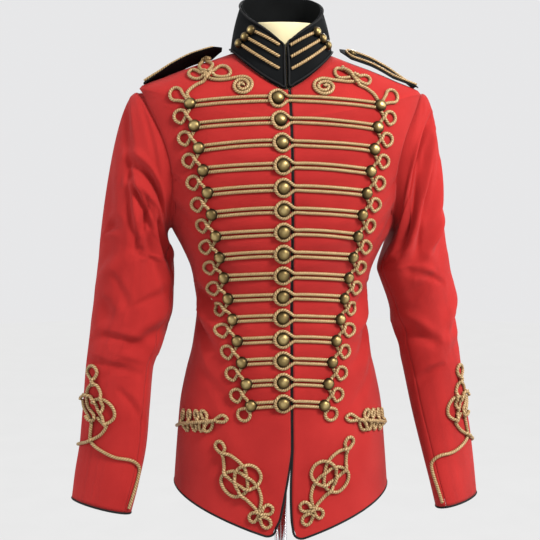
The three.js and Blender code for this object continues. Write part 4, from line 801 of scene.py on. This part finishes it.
# %% The collar
COLLAR_CLOTH = 2.6
COLLAR_TOP = [(-90, 1496, 57), (-45, 1492, 58.5), (0, 1475, 61), (32, 1455, 58.5), (61, 1438, 54), (82, 1421, 51),
              (90, 1412, 50)]
COLLAR_SIDE_REACH, COLLAR_MIDDLE, COLLAR_GAP = 61.0, 2 / 66, 0.7 / 66


def collar_point(share, angle, lift=0.0):
    share, angle = np.broadcast_arrays(np.asarray(share, float), np.asarray(angle, float))
    turn = np.degrees(np.arcsin(np.sin(angle)))
    foot = body_point(np.full(angle.shape, NECK), angle, CLOTH / 2 + 2.1 - 0.3 * np.clip(np.sin(angle) * 6, -1, 1))
    top = stack(COLLAR_SIDE_REACH * np.cos(angle), -curve_through(COLLAR_TOP, 2, turn) * np.sin(angle),
                curve_through(COLLAR_TOP, 1, turn))
    top[..., 2] -= LEAN * top[..., 0]
    out = unit(stack(np.cos(angle), -np.sin(angle), 0.15))
    return foot + (top - foot) * share[..., None] + out * (2.5 * np.sin(math.pi * share) + lift)[..., None]


def collar_normal(angle):
    return unit(stack(np.cos(angle), -np.sin(angle), 0.2))


collar_start = math.pi / 2 + COLLAR_GAP - COLLAR_MIDDLE
collar_turns = np.linspace(collar_start, collar_start + 2 * math.pi - 2 * COLLAR_GAP, 168)[None, :]
collar_shares = np.concatenate([np.linspace(0, 0.96, 24), [0.98, 0.993, 1.0]])[:, None]
thin = np.interp(collar_shares, [0, 0.96, 0.98, 0.993, 1.0], [1, 1, 0.9, 0.7, 0.35])
outer, inner = (collar_point(collar_shares, collar_turns, sign * COLLAR_CLOTH / 2 * thin) for sign in (1, -1))
cloth_piece("collar_band", outer, inner, black_cloth, "black_cloth", ["collar"], cut_of(outer))

# %% [markdown]
# A strap of the same cloth lies along each shoulder seam, with its point towards the collar. A real one is sewn in at
# the sleeve and buttoned near the neck, so it springs up between. It is laid over the shoulder's ridge by a table of
# heights and leans by an angle of its own on each side, as worn straps do.

# %% The straps
STRAP_INNER, STRAP_OUTER, STRAP_HALF, STRAP_POINT, STRAP_CLOTH = 92.0, 213.0, 20.0, 14.0, 2.2
STRAP_LIFT = [(0, 2.6), (0.3, 7), (0.65, 12), (1, 11)]
STRAP_LEAN = {"right": -0.40, "left": 0.42}
STRAP_SINK = {"right": -1.5, "left": -3.5}


def strap_point(side, share, across_share, lift=0.0):
    share, across_share = np.broadcast_arrays(np.asarray(share, float), np.asarray(across_share, float))
    sign = 1 if side == "left" else -1
    x = STRAP_OUTER + (STRAP_INNER - STRAP_OUTER) * share
    level = np.full(x.shape, TIP)
    for _ in range(30):
        level = level + 0.25 * (curve_through(BODY, HALF, level) - x) * ((NECK - TIP) / 144)
    from_point = (1 - share) * (STRAP_OUTER - STRAP_INNER)
    breadth = STRAP_HALF * np.where(from_point < STRAP_POINT, 0.25 + 0.75 * from_point / STRAP_POINT, 1)
    ridge = body_point(level, np.full(x.shape, 0.0 if side == "left" else math.pi))
    y = across_share * breadth
    lean = STRAP_LEAN[side] * np.minimum(share * 3, 1)
    fall = 0.0035 * y**2 + 0.004 * y**2 * (1 - np.minimum(share * 4, 1))
    rise = curve_through(STRAP_LIFT, 1, share)
    return stack(sign * x, y, ridge[..., 2] + rise + lean * y - fall - STRAP_SINK[side] + lift)


def strap_normal(side, share, across_share):
    up = normals_of(lambda u, v: strap_point(side, u, v), np.clip(share, 0.02, 0.98), across_share, 0.01, 0.05)
    return np.where(up[..., 2:] < 0, -up, up)


strap_shares = np.linspace(0, 1, 70)[:, None]
strap_across = np.linspace(-1, 1, 27)[None, :]
for side in ("left", "right"):
    edge_thin = np.interp(np.abs(strap_across), [0, 0.9, 1.0], [1, 1, 0.45]) * np.ones_like(strap_shares)
    outer, inner = (strap_point(side, strap_shares, strap_across, sign * STRAP_CLOTH / 2 * edge_thin)
                    for sign in (1, -1))
    cloth_piece(f"strap_{side}_cloth", outer, inner, black_cloth, "black_cloth", [f"strap_{side}"], cut_of(outer))

# %% [markdown]
# ## Cords
# Gold cord is laid along a drawn path and sewn down. A curve with a round bevel would make a smooth pipe, so a tube is
# built here with two lobes that turn along it, as two twisted strands do. Where it comes to a cord that is already
# there, it climbs over it: the braider measures how near earlier cords lie and lifts the new one by most of its width.

# %% A braider that lays cords
CORD, PIPING, HEM_PIPING = 5.2, 2.6, 3.8


def smooth_path(controls, closed=False, fine=16):
    """A Catmull-Rom curve through the points."""
    p = np.asarray(controls, float)
    if closed:
        p = np.concatenate([p[-1:], p, p[:2]])
    else:
        p = np.concatenate([2 * p[:1] - p[1:2], p, 2 * p[-1:] - p[-2:-1]])
    t = np.linspace(0, 1, fine, endpoint=False)[:, None]
    runs = []
    for a, b, c, d in zip(p[:-3], p[1:-2], p[2:-1], p[3:]):
        runs.append(0.5 * (2 * b + (c - a) * t + (2 * a - 5 * b + 4 * c - d) * t**2 + (3 * b - a - 3 * c + d) * t**3))
    if not closed:
        runs.append(p[-2:-1])
    return np.concatenate(runs)


def evenly(points, gap, closed, *others):
    """Points the same distance apart along a line, and other arrays read at the same places."""
    if closed:
        points, others = np.concatenate([points, points[:1]]), [np.concatenate([o, o[:1]]) for o in others]
    run = np.concatenate([[0], np.linalg.norm(np.diff(points, axis=0), axis=1).cumsum()])
    count = max(int(run[-1] / gap), 4)
    at = np.linspace(0, run[-1], count + 1)[:-1] if closed else np.linspace(0, run[-1], count + 1)
    return run[-1], [np.stack([np.interp(at, run, a[:, k]) for k in range(a.shape[1])], -1) for a in (points, *others)]


class Braider:
    """Lays cords on one surface and keeps their mesh. on_surface gives points and outward directions."""

    def __init__(self, on_surface, width=CORD, sides=12, gap=1.1, pitch=7.4, lobes=0.075, lift=CLOTH / 2):
        self.on_surface, self.width, self.sides, self.gap = on_surface, width, sides, gap
        self.pitch, self.lobes, self.lift = pitch, lobes, lift
        self.laid = np.zeros((0, 3))
        self.points, self.faces, self.strand, self.length = [], [], [], 0.0

    def climb(self, base):
        """How high each point has to rise over the cords below it."""
        near = np.full(len(base), 99.0)
        if len(self.laid):
            for k in range(0, len(base), 64):
                near[k:k + 64] = np.linalg.norm(base[k:k + 64, None] - self.laid[None], axis=2).min(1)
        skip = int(2.6 * self.width / self.gap)
        if len(base) > skip:
            own = np.linalg.norm(base[:, None] - base[None], axis=2)
            own[np.arange(len(base))[:, None] < np.arange(len(base))[None] + skip] = 99.0
            near = np.minimum(near, own.min(1))
        rise = 0.82 * self.width * np.clip((0.95 * self.width - near) / (0.45 * self.width), 0, 1)
        wide = int(1.6 / self.gap) + 1
        held = np.pad(rise, wide, mode="edge")
        spread = np.max([held[k:k + len(rise)] for k in range(2 * wide + 1)], axis=0)
        bell = np.exp(-(np.arange(-6, 7) * self.gap / 2.6)**2)
        return np.convolve(np.pad(spread, 6, mode="edge"), bell / bell.sum(), "valid")

    def lay(self, controls, closed=False, climbs=True):
        path = smooth_path(controls, closed)
        self.tube(*self.on_surface(path), closed, climbs)
        return self

    def tube(self, base, normal, closed=False, climbs=True, share=None):
        """share is each point's part of the full width, where a cord changes width."""
        share = np.ones(len(base)) if share is None else share
        length, (base, normal, share) = evenly(base, self.gap, closed, normal, share[:, None])
        normal = unit(normal)
        rise = self.climb(base) if climbs else np.zeros(len(base))
        self.laid = np.concatenate([self.laid, base])
        centre = base + normal * (self.lift + self.width * 0.45 + rise)[:, None]
        if closed:
            tangent = unit(np.roll(centre, -1, 0) - np.roll(centre, 1, 0))
        else:
            tangent = unit(np.gradient(centre, axis=0))
        side = unit(np.cross(tangent, normal))
        up = np.cross(side, tangent)
        count = len(centre)
        turns = round(length / self.pitch * 2) / 2 if closed else length / self.pitch
        phase = 2 * math.pi * turns * np.arange(count) / count
        theta = np.linspace(0, 2 * math.pi, self.sides, endpoint=False)
        lobe = np.cos(2 * (theta[None] - phase[:, None]))
        radius = self.width / 2 * share * (0.98 + self.lobes * lobe)
        ring = centre[:, None] + radius[..., None] * (side[:, None] * np.cos(theta)[None, :, None]
                                                      + up[:, None] * np.sin(theta)[None, :, None])
        start = sum(len(p) for p in self.points)
        faces = grid_faces(count + (1 if closed else 0), self.sides, around=True)
        faces = (faces % (count * self.sides)) + start
        self.points.append(ring.reshape(-1, 3))
        self.strand.append((0.5 + 0.5 * lobe).reshape(-1))
        self.faces.append(faces[:, ::-1].tolist())
        if not closed:
            self.points.append(centre[[0, -1]])
            self.strand.append(np.zeros(2))
            first, tail = start + count * self.sides, start + (count - 1) * self.sides
            last = first + 1
            s = np.arange(self.sides)
            n = (s + 1) % self.sides
            self.faces.append(np.stack([start + s, start + n, np.full_like(s, first)], -1).tolist())
            self.faces.append(np.stack([tail + n, tail + s, np.full_like(s, last)], -1).tolist())
        self.length += length

    def piece(self, name, material, slot, replaces):
        faces = [f for group in self.faces for f in group]
        make_piece(name, np.concatenate(self.points), faces, material, slot, replaces,
                   strand=np.concatenate(self.strand))
        print(f"{name}: {self.length:.0f} mm of cord, {len(faces)} faces")


# %% Where a cord can lie
def on_front(path):
    level, angle = body_at(path[:, 0], path[:, 1])
    return body_point(level, angle), body_normal(level, angle)


def on_body(path):
    """Points given as level and angle in degrees."""
    level, angle = path[:, 0], np.radians(path[:, 1])
    return body_point(level, angle), body_normal(level, angle)


def on_sleeve(side):
    def placed(path):
        way, turn = path[:, 0], np.radians(path[:, 1])
        return (turned_over(sleeve_point(side, way, turn), side), turned_over(sleeve_normal(side, way, turn), side))
    return placed


def on_collar(path):
    return collar_point(path[:, 0], np.radians(path[:, 1])), collar_normal(np.radians(path[:, 1]))


def on_strap(side):
    return lambda path: (strap_point(side, path[:, 0], path[:, 1]), strap_normal(side, path[:, 0], path[:, 1]))


print("cords can be laid on the front, body, sleeves, collar and straps")

# %% [markdown]
# The buttons are half balls of brass with a thin rolled rim. A squashed sphere has no rim, and the rim is what catches
# the light beside the cloth, so each is turned on a lathe from a short profile and faces the way its cloth does.

# %% Buttons
BUTTON_SIDES, CROWN_HEIGHT, RIM_DEPTH = 32, 0.73, 0.10


def dome_button(middle, away, across_mm):
    """A thin rim and a high crown, turned on a lathe; crown says how far each point is from the rim."""
    r = across_mm / 2
    turn = np.linspace(0, math.pi / 2, 11)
    profile = [(0.90, -RIM_DEPTH), (0.99, -0.06), (1.0, 0.02), (0.965, 0.08), (0.93, 0.09)]
    profile += [(0.92 * math.cos(t), 0.11 + 0.62 * math.sin(t)) for t in turn[:-1]]
    side = unit(np.cross(away, [0.0, 0.3, 1.0]))
    up = np.cross(side, away)
    theta = np.linspace(0, 2 * math.pi, BUTTON_SIDES, endpoint=False)
    points = [middle + r * (rho * (side * math.cos(t) + up * math.sin(t)) + h * away)
              for rho, h in profile for t in theta]
    points = np.array([*points, middle + r * CROWN_HEIGHT * away, middle - r * RIM_DEPTH * away])
    top, low, last_row = len(profile) * BUTTON_SIDES, len(profile) * BUTTON_SIDES + 1, (len(profile) - 1) * BUTTON_SIDES
    steps = [(k, (k + 1) % BUTTON_SIDES) for k in range(BUTTON_SIDES)]
    faces = grid_faces(len(profile), BUTTON_SIDES, around=True).tolist()
    faces += [[last_row + k, last_row + n, top] for k, n in steps] + [[n, k, low] for k, n in steps]
    crown = [max(0.0, h / CROWN_HEIGHT)**1.5 for _, h in profile for _ in theta] + [1.0, 0.0]
    return points, facing_out(points, faces, middle), crown


def button_piece(name, buttons, replaces=()):
    points, faces, crown, start = [], [], [], 0
    for button in buttons:
        p, f, c = dome_button(*button)
        points.append(p)
        faces += [[k + start for k in face] for face in f]
        crown += c
        start += len(p)
    make_piece(name, np.concatenate(points), faces, brass_button, "brass_button", replaces, crown=crown)


print("braider and lathe ready")

# %% [markdown]
# ## Frogging
# Fifteen rows cross the chest. From the wearer's left a cord runs out, round the middle button and back, and that loop
# is what fastens the jacket. From the right two cords end under the button. Each side button takes a cord from the
# button above, which makes a small loop first. One row is worked out from its number, since the rows shrink evenly.

# %% Rows of frogging
BUTTON_LINE, TOP_SHIFT, PAIR, ROW_CORD, BUTTON_SEAT, ROW_DROP = -7.0, 6, 3.6, 4.9, CLOTH / 2 + 4.2, (9, 4)
MIDDLE_BUTTON, SIDE_BUTTON, COLLAR_BUTTON, STRAP_BUTTON = 20.5, 19.0, 15.5, 15.0
LOOP_OUT, LOOP_UP, LOOP_RADIUS = 20.5, 14.5, 9.3


def row_place(row):
    """A row's height at the middle, how far it reaches, and its height at any x, for it sags to the sides."""
    t = row / (ROWS - 1)
    reach = ROW_REACH[0] + (ROW_REACH[1] - ROW_REACH[0]) * t
    z, drop = ROW_TOP - row * ROW_PITCH, ROW_DROP[0] + (ROW_DROP[1] - ROW_DROP[0]) * t
    return z, reach, lambda x: z - drop * ((x - BUTTON_LINE) / reach)**2


def seat(x, z):
    """Where a button sits on the front, and the way it faces."""
    base, normal = on_front(np.array([[x, z]]))
    return base[0] + normal[0] * BUTTON_SEAT, normal[0]


for row in range(ROWS):
    z, reach, height = row_place(row)
    round_button = MIDDLE_BUTTON / 2 + 2.0
    line_x = BUTTON_LINE - TOP_SHIFT * math.exp(-row / 1.6)
    wobble = 0.5 * math.sin(row * 2.4)
    braid = Braider(on_front, width=ROW_CORD)
    for offset in (PAIR, -PAIR):
        braid.lay([(x, height(x) + offset + wobble * math.sin(x / 30)) for x in np.linspace(-reach, line_x - 7, 9)])
    arc = [(line_x + round_button * math.cos(a), z + round_button * math.sin(a))
           for a in np.radians(np.linspace(42, 318, 9))]
    xs = np.linspace(reach, line_x + 16.5, 8)
    braid.lay([(x, height(x) + PAIR + wobble * math.sin(x / 26)) for x in xs] + arc
              + [(x, height(x) - PAIR + wobble * math.sin(x / 26)) for x in xs[::-1]])
    buttons = [(*seat(line_x, z), MIDDLE_BUTTON)]
    for side in (-1, 1):
        bx, bz = side * reach, height(side * reach)
        cx, cz = bx + side * LOOP_OUT, bz + LOOP_UP
        if row:
            _, above_reach, above = row_place(row - 1)
            start = [(side * above_reach, above(side * above_reach) - 6), (side * (above_reach + 3.0), bz + 21)]
        else:
            start = [(bx + side * 3, bz + 3)]
        turn = np.radians(np.linspace(-74, -352, 9))
        loop = [(cx - side * LOOP_RADIUS * math.cos(a), cz + LOOP_RADIUS * math.sin(a)) for a in turn]
        braid.lay(start + loop + [(bx + side * 2, bz + 4)])
        if row == ROWS - 1:
            lx, lz = bx + side * 10.8, bz - 14
            turn = np.radians(np.linspace(125, 415, 9))
            loop = [(lx + side * LOOP_RADIUS * math.cos(a), lz + LOOP_RADIUS * math.sin(a)) for a in turn]
            braid.lay([(bx + side * 2, bz - 3)] + loop + [(bx, bz - 2)])
        buttons.append((*seat(bx, bz), SIDE_BUTTON))
    braid.piece(f"frog_cords_{row + 1:02d}", gold_cord, "gold_cord", [f"frog_row_{row + 1:02d}"])
    button_piece(f"frog_buttons_{row + 1:02d}", buttons)

# %% [markdown]
# ## Knots
# A braider lays a knot from one length of cord without cutting it, and the eye follows the strand over and under. So
# the knots are drawn as points in the order in which the cord is laid, not as separate rings. The two chest knots are
# not mirrored: each was laid by hand, with three petals on the right and two on the left, and both end in a spiral.

# %% Chest knots
CHEST_RIGHT = [
    [(-142, 1327), (-146.2, 1338), (-134.6, 1348.9), (-122, 1355.2), (-112.7, 1363.3), (-105.4, 1372), (-98, 1377.6),
     (-91.4, 1378.7), (-85, 1376.5), (-81.3, 1369.8), (-84.4, 1364.1), (-92.4, 1362.2), (-99.7, 1362.5), (-107, 1364.6),
     (-113, 1371), (-107, 1379.8), (-109, 1386), (-117, 1388), (-125, 1383), (-127, 1377), (-122, 1371.5),
     (-115.8, 1367.5)],
    [(-112, 1366.8), (-123.8, 1367.4), (-130.4, 1371.6), (-137.1, 1373.6), (-143, 1369.4), (-142.1, 1363.4),
     (-134.3, 1359.3), (-124.1, 1360.4), (-113, 1364)],
    [(-121, 1364.5), (-111.5, 1359.7), (-104.2, 1358.1), (-93.8, 1357.8), (-84, 1359.1), (-74.7, 1361), (-65.5, 1362.6),
     (-57.6, 1361.6), (-51.7, 1356.7), (-50.4, 1351.0), (-52.8, 1344.9), (-58.5, 1339.9), (-65.9, 1338.4),
     (-72.6, 1340.5), (-76.6, 1346), (-75.7, 1352.3), (-71.4, 1356.9), (-65.6, 1358.4), (-59.6, 1357.0),
     (-56.1, 1352.2), (-57.6, 1346.8), (-63.5, 1343.6), (-69.0, 1345.2), (-70.6, 1349.6), (-67.6, 1352.9),
     (-63.4, 1351.4), (-63.6, 1348.8)]]
CHEST_LEFT = [
    [(99, 1362.5), (89.2, 1361.4), (81.2, 1362), (76.4, 1367.6), (77.1, 1373.8), (81.9, 1376.1), (88.1, 1374),
     (94.9, 1370.5), (99.9, 1367), (103.8, 1361.8), (106.7, 1355.6), (113.3, 1350.5), (121.1, 1347.1), (128.7, 1341.9),
     (134.6, 1336.7), (139.5, 1328)],
    [(88, 1379), (92, 1375.8), (96, 1371.4), (101.9, 1367.9), (107.6, 1362.7), (112.4, 1357.5), (118.3, 1354),
     (125.5, 1352.3), (130.3, 1356.4), (130.7, 1361.3), (125.8, 1365.2), (119, 1365.5), (112.1, 1363.3), (104, 1366)],
    [(108, 1356.5), (102.2, 1356), (93.1, 1356), (86, 1356.8), (71.9, 1358.4), (61.5, 1360.1), (52.8, 1359.9),
     (44.6, 1354.8), (43.0, 1347.4), (47.9, 1341.0), (56, 1337.5), (64, 1338.5), (70, 1343), (71.5, 1349.1),
     (67.2, 1353.9), (60.6, 1355.4), (52.7, 1354.0), (49.0, 1349), (51.4, 1344.1), (57.4, 1342.4), (63.2, 1344.4),
     (65.0, 1348.6), (61.2, 1350.6), (57.4, 1348.8)]]
for side, strands in (("right", CHEST_RIGHT), ("left", CHEST_LEFT)):
    braid = Braider(on_front)
    for strand in strands[::-1]:
        braid.lay(strand)
    braid.piece(f"chest_cord_{side}", gold_cord, "gold_cord", [f"chest_knot_{side}"])

# %% [markdown]
# At the hem's front corners a long knot has three small petals at its foot and two rings that are linked above them.
# The left one is the right one turned over about the line where the fronts meet, and it sits 3 mm higher.

# %% Hem knots
HEM_STRANDS = [
    [(-96.5, 798), (-94.5, 805), (-99, 813), (-106, 813), (-109, 806), (-103.5, 799), (-92.5, 797), (-83.5, 794),
     (-74.5, 788), (-69, 782), (-65, 776), (-63, 768), (-61.5, 758), (-61, 748), (-64.5, 740), (-73.5, 734),
     (-83.5, 733), (-93.5, 740), (-99.5, 750), (-99.5, 760), (-93.5, 767), (-83.5, 771), (-74.5, 770), (-66.5, 767),
     (-57.5, 761), (-48.5, 751), (-43.5, 742), (-41, 730), (-42.5, 719), (-43.5, 712)],
    [(-96.5, 796), (-96.5, 782), (-94.5, 768), (-88.5, 760), (-81.5, 755), (-71.5, 749), (-61.5, 745), (-51.5, 748),
     (-43.5, 756), (-41.5, 766), (-46.5, 776), (-54.5, 781), (-62.5, 782), (-70.5, 779), (-77.5, 771), (-79.5, 761),
     (-77.5, 750), (-72.5, 739), (-62.5, 729), (-53.5, 720), (-46.5, 712)],
    [(-42.5, 716), (-44.5, 709), (-47.5, 701), (-53, 695.5), (-58.5, 699), (-58.5, 706), (-52.5, 710.5), (-45.5, 711)],
    [(-40.5, 712), (-37, 719), (-30.5, 721.5), (-24.5, 717), (-25.5, 710), (-31.5, 707), (-38.5, 708), (-43.5, 708)],
    [(-42, 704), (-36, 703.5), (-29, 699), (-27.5, 691), (-33.5, 686.5), (-39.5, 690), (-42.5, 697), (-43.5, 704)]]
for side in ("right", "left"):
    braid = Braider(on_front)
    for strand in HEM_STRANDS:
        braid.lay(strand if side == "right" else [(-x - 7, z + 3) for x, z in strand])
    braid.piece(f"hem_cord_{side}", gold_cord, "gold_cord", [f"hem_knot_{side}"])

# %% [markdown]
# The hip braids mark the pockets: a chain of small loops on both sides of a spine, like a leaf, with an eye at the
# front end. Drawing every loop would be long, so one ring is stretched between a foot on the spine and its far end.

# %% Hip braids
HIP_SPINE = [(814, 177), (820, 170), (825.7, 164.1), (835.7, 152.9), (842.9, 145.3), (848.8, 139.1), (852.3, 135.1),
             (855.3, 131.7)]
HIP_LOOPS = [(843.3, 160.9), (827, 153.6), (849.4, 152.6), (833.5, 145.8), (854.7, 145.5), (838, 140.3), (858.7, 140),
             (841.6, 135.8)]
HIP_FEET = [(829, 160.6), (833, 156), (837.5, 151), (842, 146.2), (845.5, 142.6), (848.5, 139.4), (851.5, 136),
            (854, 133)]
MM_PER_DEGREE = 2.6
for side in ("right", "left"):
    def on_hip(path):
        return on_body(path if side == "right" else np.stack([path[:, 0], 180 - path[:, 1]], -1))
    braid = Braider(on_hip)
    for (level, angle), (foot_level, foot_angle) in zip(HIP_LOOPS, HIP_FEET):
        reach = np.array([level - foot_level, (angle - foot_angle) * MM_PER_DEGREE])
        sideways = unit(np.array([-reach[1], reach[0]])) * 4.6
        ring = [np.zeros(2), reach * 0.5 + sideways * 0.8, reach * 1.05 + sideways * 0.85, reach * 1.42,
                reach * 1.05 - sideways * 0.85, reach * 0.5 - sideways * 0.8, np.zeros(2)]
        braid.lay([(foot_level + p[0], foot_angle + p[1] / MM_PER_DEGREE) for p in ring])
    braid.lay(HIP_SPINE + [(861, 129.5), (866, 126.5), (863, 123.6), (857.5, 125.6), (855.3, 130)])
    braid.piece(f"hip_cord_{side}", gold_cord, "gold_cord", [f"hip_braid_{side}"])

# %% [markdown]
# Each cuff has a pointed cord round it with a knot that climbs the outside of the sleeve. The points are given as the
# way down the sleeve and the turn round it, so the same knot lies on both arms, though the arms bend differently.

# %% Sleeve knots
SLEEVE_STRANDS = [
    [(1.611, 35), (1.639, 45), (1.671, 60), (1.699, 68), (1.732, 68), (1.768, 69), (1.788, 77), (1.804, 94),
     (1.816, 117), (1.817, 144), (1.828, 162), (1.846, 172), (1.88, 174), (1.93, 172), (1.985, 170)],
    [(1.703, 97), (1.723, 94), (1.745, 87), (1.765, 75), (1.78, 64), (1.797, 44), (1.812, 20), (1.822, -15),
     (1.828, -50), (1.83, -86)],
    [(1.616, 65), (1.604, 70), (1.596, 79), (1.6, 91), (1.619, 102), (1.644, 108), (1.668, 108), (1.686, 102),
     (1.696, 94), (1.686, 86), (1.672, 79)],
    [(1.536, 60), (1.558, 52), (1.575, 50), (1.606, 51), (1.632, 56), (1.651, 66), (1.669, 76), (1.686, 73),
     (1.684, 64), (1.672, 58)],
    [(1.611, 35), (1.596, 36), (1.586, 43), (1.587, 57), (1.601, 70), (1.619, 75), (1.645, 80), (1.669, 88),
     (1.703, 97)],
    [(1.545, 66), (1.525, 62), (1.506, 51), (1.49, 44), (1.473, 47), (1.464, 56), (1.471, 65), (1.488, 70),
     (1.51, 67), (1.525, 64), (1.541, 73), (1.564, 80), (1.59, 84), (1.61, 86), (1.63, 88), (1.655, 86)]]
for side in ("right", "left"):
    braid = Braider(on_sleeve(side))
    for strand in SLEEVE_STRANDS:
        braid.lay(strand)
    braid.piece(f"cuff_cord_{side}", gold_cord, "gold_cord", [f"sleeve_knot_{side}"])

# %% [markdown]
# Three stripes of cord slant down each side of the collar's front, each from a small button, and a finer cord runs
# round each strap to its stud. They use the same braider, with the collar or the strap as the surface below.

# %% Stripes on the collar and braid on the straps
# share of the collar's height in front and at the button, and the button's angle
COLLAR_STRIPES = [(0.87, 0.78, 45), (0.62, 0.56, 38), (0.37, 0.33, 30)]
STRIPE_START = 83
for side in ("left", "right"):
    for k, (front_share, end_share, end_angle) in enumerate(COLLAR_STRIPES, 1):
        def turned(angle):
            return angle if side == "left" else 180 - angle
        line = [(front_share + (end_share - front_share) * t, turned(STRIPE_START + (end_angle - STRIPE_START) * t))
                for t in np.linspace(0, 1, 6)]
        braid = Braider(on_collar, width=4.6, lift=COLLAR_CLOTH / 2).lay(line)
        braid.piece(f"collar_cord_{side}_{k}", gold_cord, "gold_cord", [f"collar_stripe_{side}_{k}"])
        away = collar_normal(np.radians(turned(end_angle)))
        middle = collar_point(end_share, np.radians(turned(end_angle)), COLLAR_CLOTH / 2 + 3.4)
        button_piece(f"collar_button_{side}_{k}", [(middle, away, COLLAR_BUTTON)])

for side in ("left", "right"):
    shares = np.linspace(0.02, 0.84, 7)
    line = [(t, -0.68) for t in shares] + [(0.90, -0.5), (0.925, 0.0), (0.90, 0.5)] + [(t, 0.68) for t in shares[::-1]]
    braid = Braider(on_strap(side), width=3.6, lift=STRAP_CLOTH / 2).lay(line)
    braid.piece(f"strap_cord_{side}", gold_cord, "gold_cord", [f"strap_braid_{side}"])
    away = strap_normal(side, np.array([0.84]), np.array([0.0]))[0]
    middle = strap_point(side, 0.84, 0.0, STRAP_CLOTH / 2 + 1.2)
    button_piece(f"strap_stud_{side}", [(middle, away, STRAP_BUTTON)], [f"strap_button_{side}"])

# %% [markdown]
# ## Piping
# Black piping covers every raw edge: down both fronts, round the skirts' corners and along the hem, round the cuffs
# and round the collar. A darker band of the cloth's own colour would look printed, so it is a fine cord as well, laid
# just off the edge, and thinner above, where the fronts close over it.

# %% Piping
PIPING_GAP, THIN_SHARE, FULL_BELOW = 1.5, 0.55, SKIRT_OPENS - 66


def piping_braid(on_surface=None, width=HEM_PIPING, lift=-HEM_PIPING * 0.45):
    return Braider(on_surface, width=width, sides=10, gap=PIPING_GAP, pitch=7.0, lobes=0.07, lift=lift)


def edge_tube(name, line, normal, outward_sign, replaces):
    """Piping beside a cloth's edge: thin where the fronts close, full below. It is moved sideways off the cloth."""
    _, (line, normal) = evenly(line, PIPING_GAP, False, normal)
    full_from = int((line[:, 2] > FULL_BELOW).sum())
    share = np.interp(np.arange(len(line)), [full_from - 50, full_from + 10], [THIN_SHARE, 1.0])
    along = unit(np.gradient(line, axis=0))
    line = line + unit(np.cross(along, normal)) * outward_sign * (HEM_PIPING / 2 * share * 0.9)[:, None]
    braid = piping_braid()
    braid.tube(line, normal, climbs=False, share=share)
    braid.piece(name, black_braid, "black_braid", replaces)


for side in ("left", "right"):
    down = np.concatenate([np.linspace(NECK - 3, HEM + 30, 150), np.linspace(HEM + 28, HEM, 14)])
    edge = edge_angle(down, front_edge(side, down))
    first = body_point(down, edge)
    first[:, 2] += corner_lift(down, 0.0)
    inward = -1 if side == "left" else 1
    seam_gap = SEAM / 2 / BODY[0][FRONT]
    seam = seam_gap if side == "left" else math.pi - seam_gap
    base_edge = edge_angle(np.array(HEM), front_edge(side, np.array(HEM)))
    near = HEM_CORNER * (1 - np.cos(np.linspace(0.08, math.pi / 2, 12)))
    turn = np.concatenate([base_edge + inward * near / BODY[0][HALF],
                           np.linspace(base_edge + inward * 18 / BODY[0][HALF], seam, 60)])
    from_edge = np.concatenate([near, np.full(60, 99.0)])
    second = body_point(np.full(turn.shape, HEM), turn)
    second[:, 2] += corner_lift(np.full(turn.shape, HEM), from_edge)
    line = np.concatenate([first, second])
    normal = np.concatenate([body_normal(down, edge), body_normal(np.full(turn.shape, HEM), turn)])
    edge_tube(f"front_piping_{side}", line, normal, 1 if side == "left" else -1, [f"piping_front_{side}"])
    way, turn = np.full(120, 2.0), np.linspace(0, 2 * math.pi, 120, endpoint=False)
    cuff = turned_over(sleeve_point(side, way, turn), side)
    past = sleeve_ring(SLEEVES[side], np.float64(1))[1] * np.array([-1 if side == "right" else 1, 1, 1])
    braid = piping_braid()
    braid.tube(cuff + past * (PIPING / 2 + 0.2), turned_over(sleeve_normal(side, way, turn), side), True, False)
    braid.piece(f"cuff_piping_{side}", black_braid, "black_braid", [f"piping_cuff_{side}"])

turn = np.linspace(-0.01, -math.pi + 0.01, 140)
hem = np.full(turn.shape, HEM)
line = body_point(hem, turn) - np.array([0, 0, PIPING / 2 + 0.2])
braid = piping_braid()
braid.tube(line, body_normal(hem, turn), False, False)
braid.piece("back_piping", black_braid, "black_braid", ["piping_back"])

collar_line = np.degrees(collar_turns[0])
foot = [(0.05, a) for a in collar_line[1:-1:3]]
top = [(0.965, a) for a in collar_line[1:-1:3]]
rim = foot + [(0.35, foot[-1][1]), (0.68, foot[-1][1])] + top[::-1] + [(0.68, foot[0][1]), (0.35, foot[0][1])]
braid = piping_braid(on_collar, 3.0, COLLAR_CLOTH / 2)
braid.lay(rim, closed=True, climbs=False)
braid.piece("collar_piping", black_braid, "black_braid", ["piping_collar"])

# %% [markdown]
# ## Floor and finish
# The floor is a wide disc that glows as palely as the surround, so that no horizon shows behind the jacket. The
# triangles of every shown piece are counted.

# %% Floor and triangle counts
bpy.ops.mesh.primitive_circle_add(vertices=128, radius=6.0, fill_type="NGON", location=(0, 0, -0.001))
floor = bpy.context.object
floor.name = "floor"
floor.data.materials.append(floor_grey)

triangles = {o.name: sum(len(p.vertices) - 2 for p in o.data.polygons) for o in bpy.data.objects
             if o.type == "MESH" and not o.hide_render}
print(len(triangles), "pieces,", sum(triangles.values()), "triangles, most", max(triangles.items(), key=lambda t: t[1]))
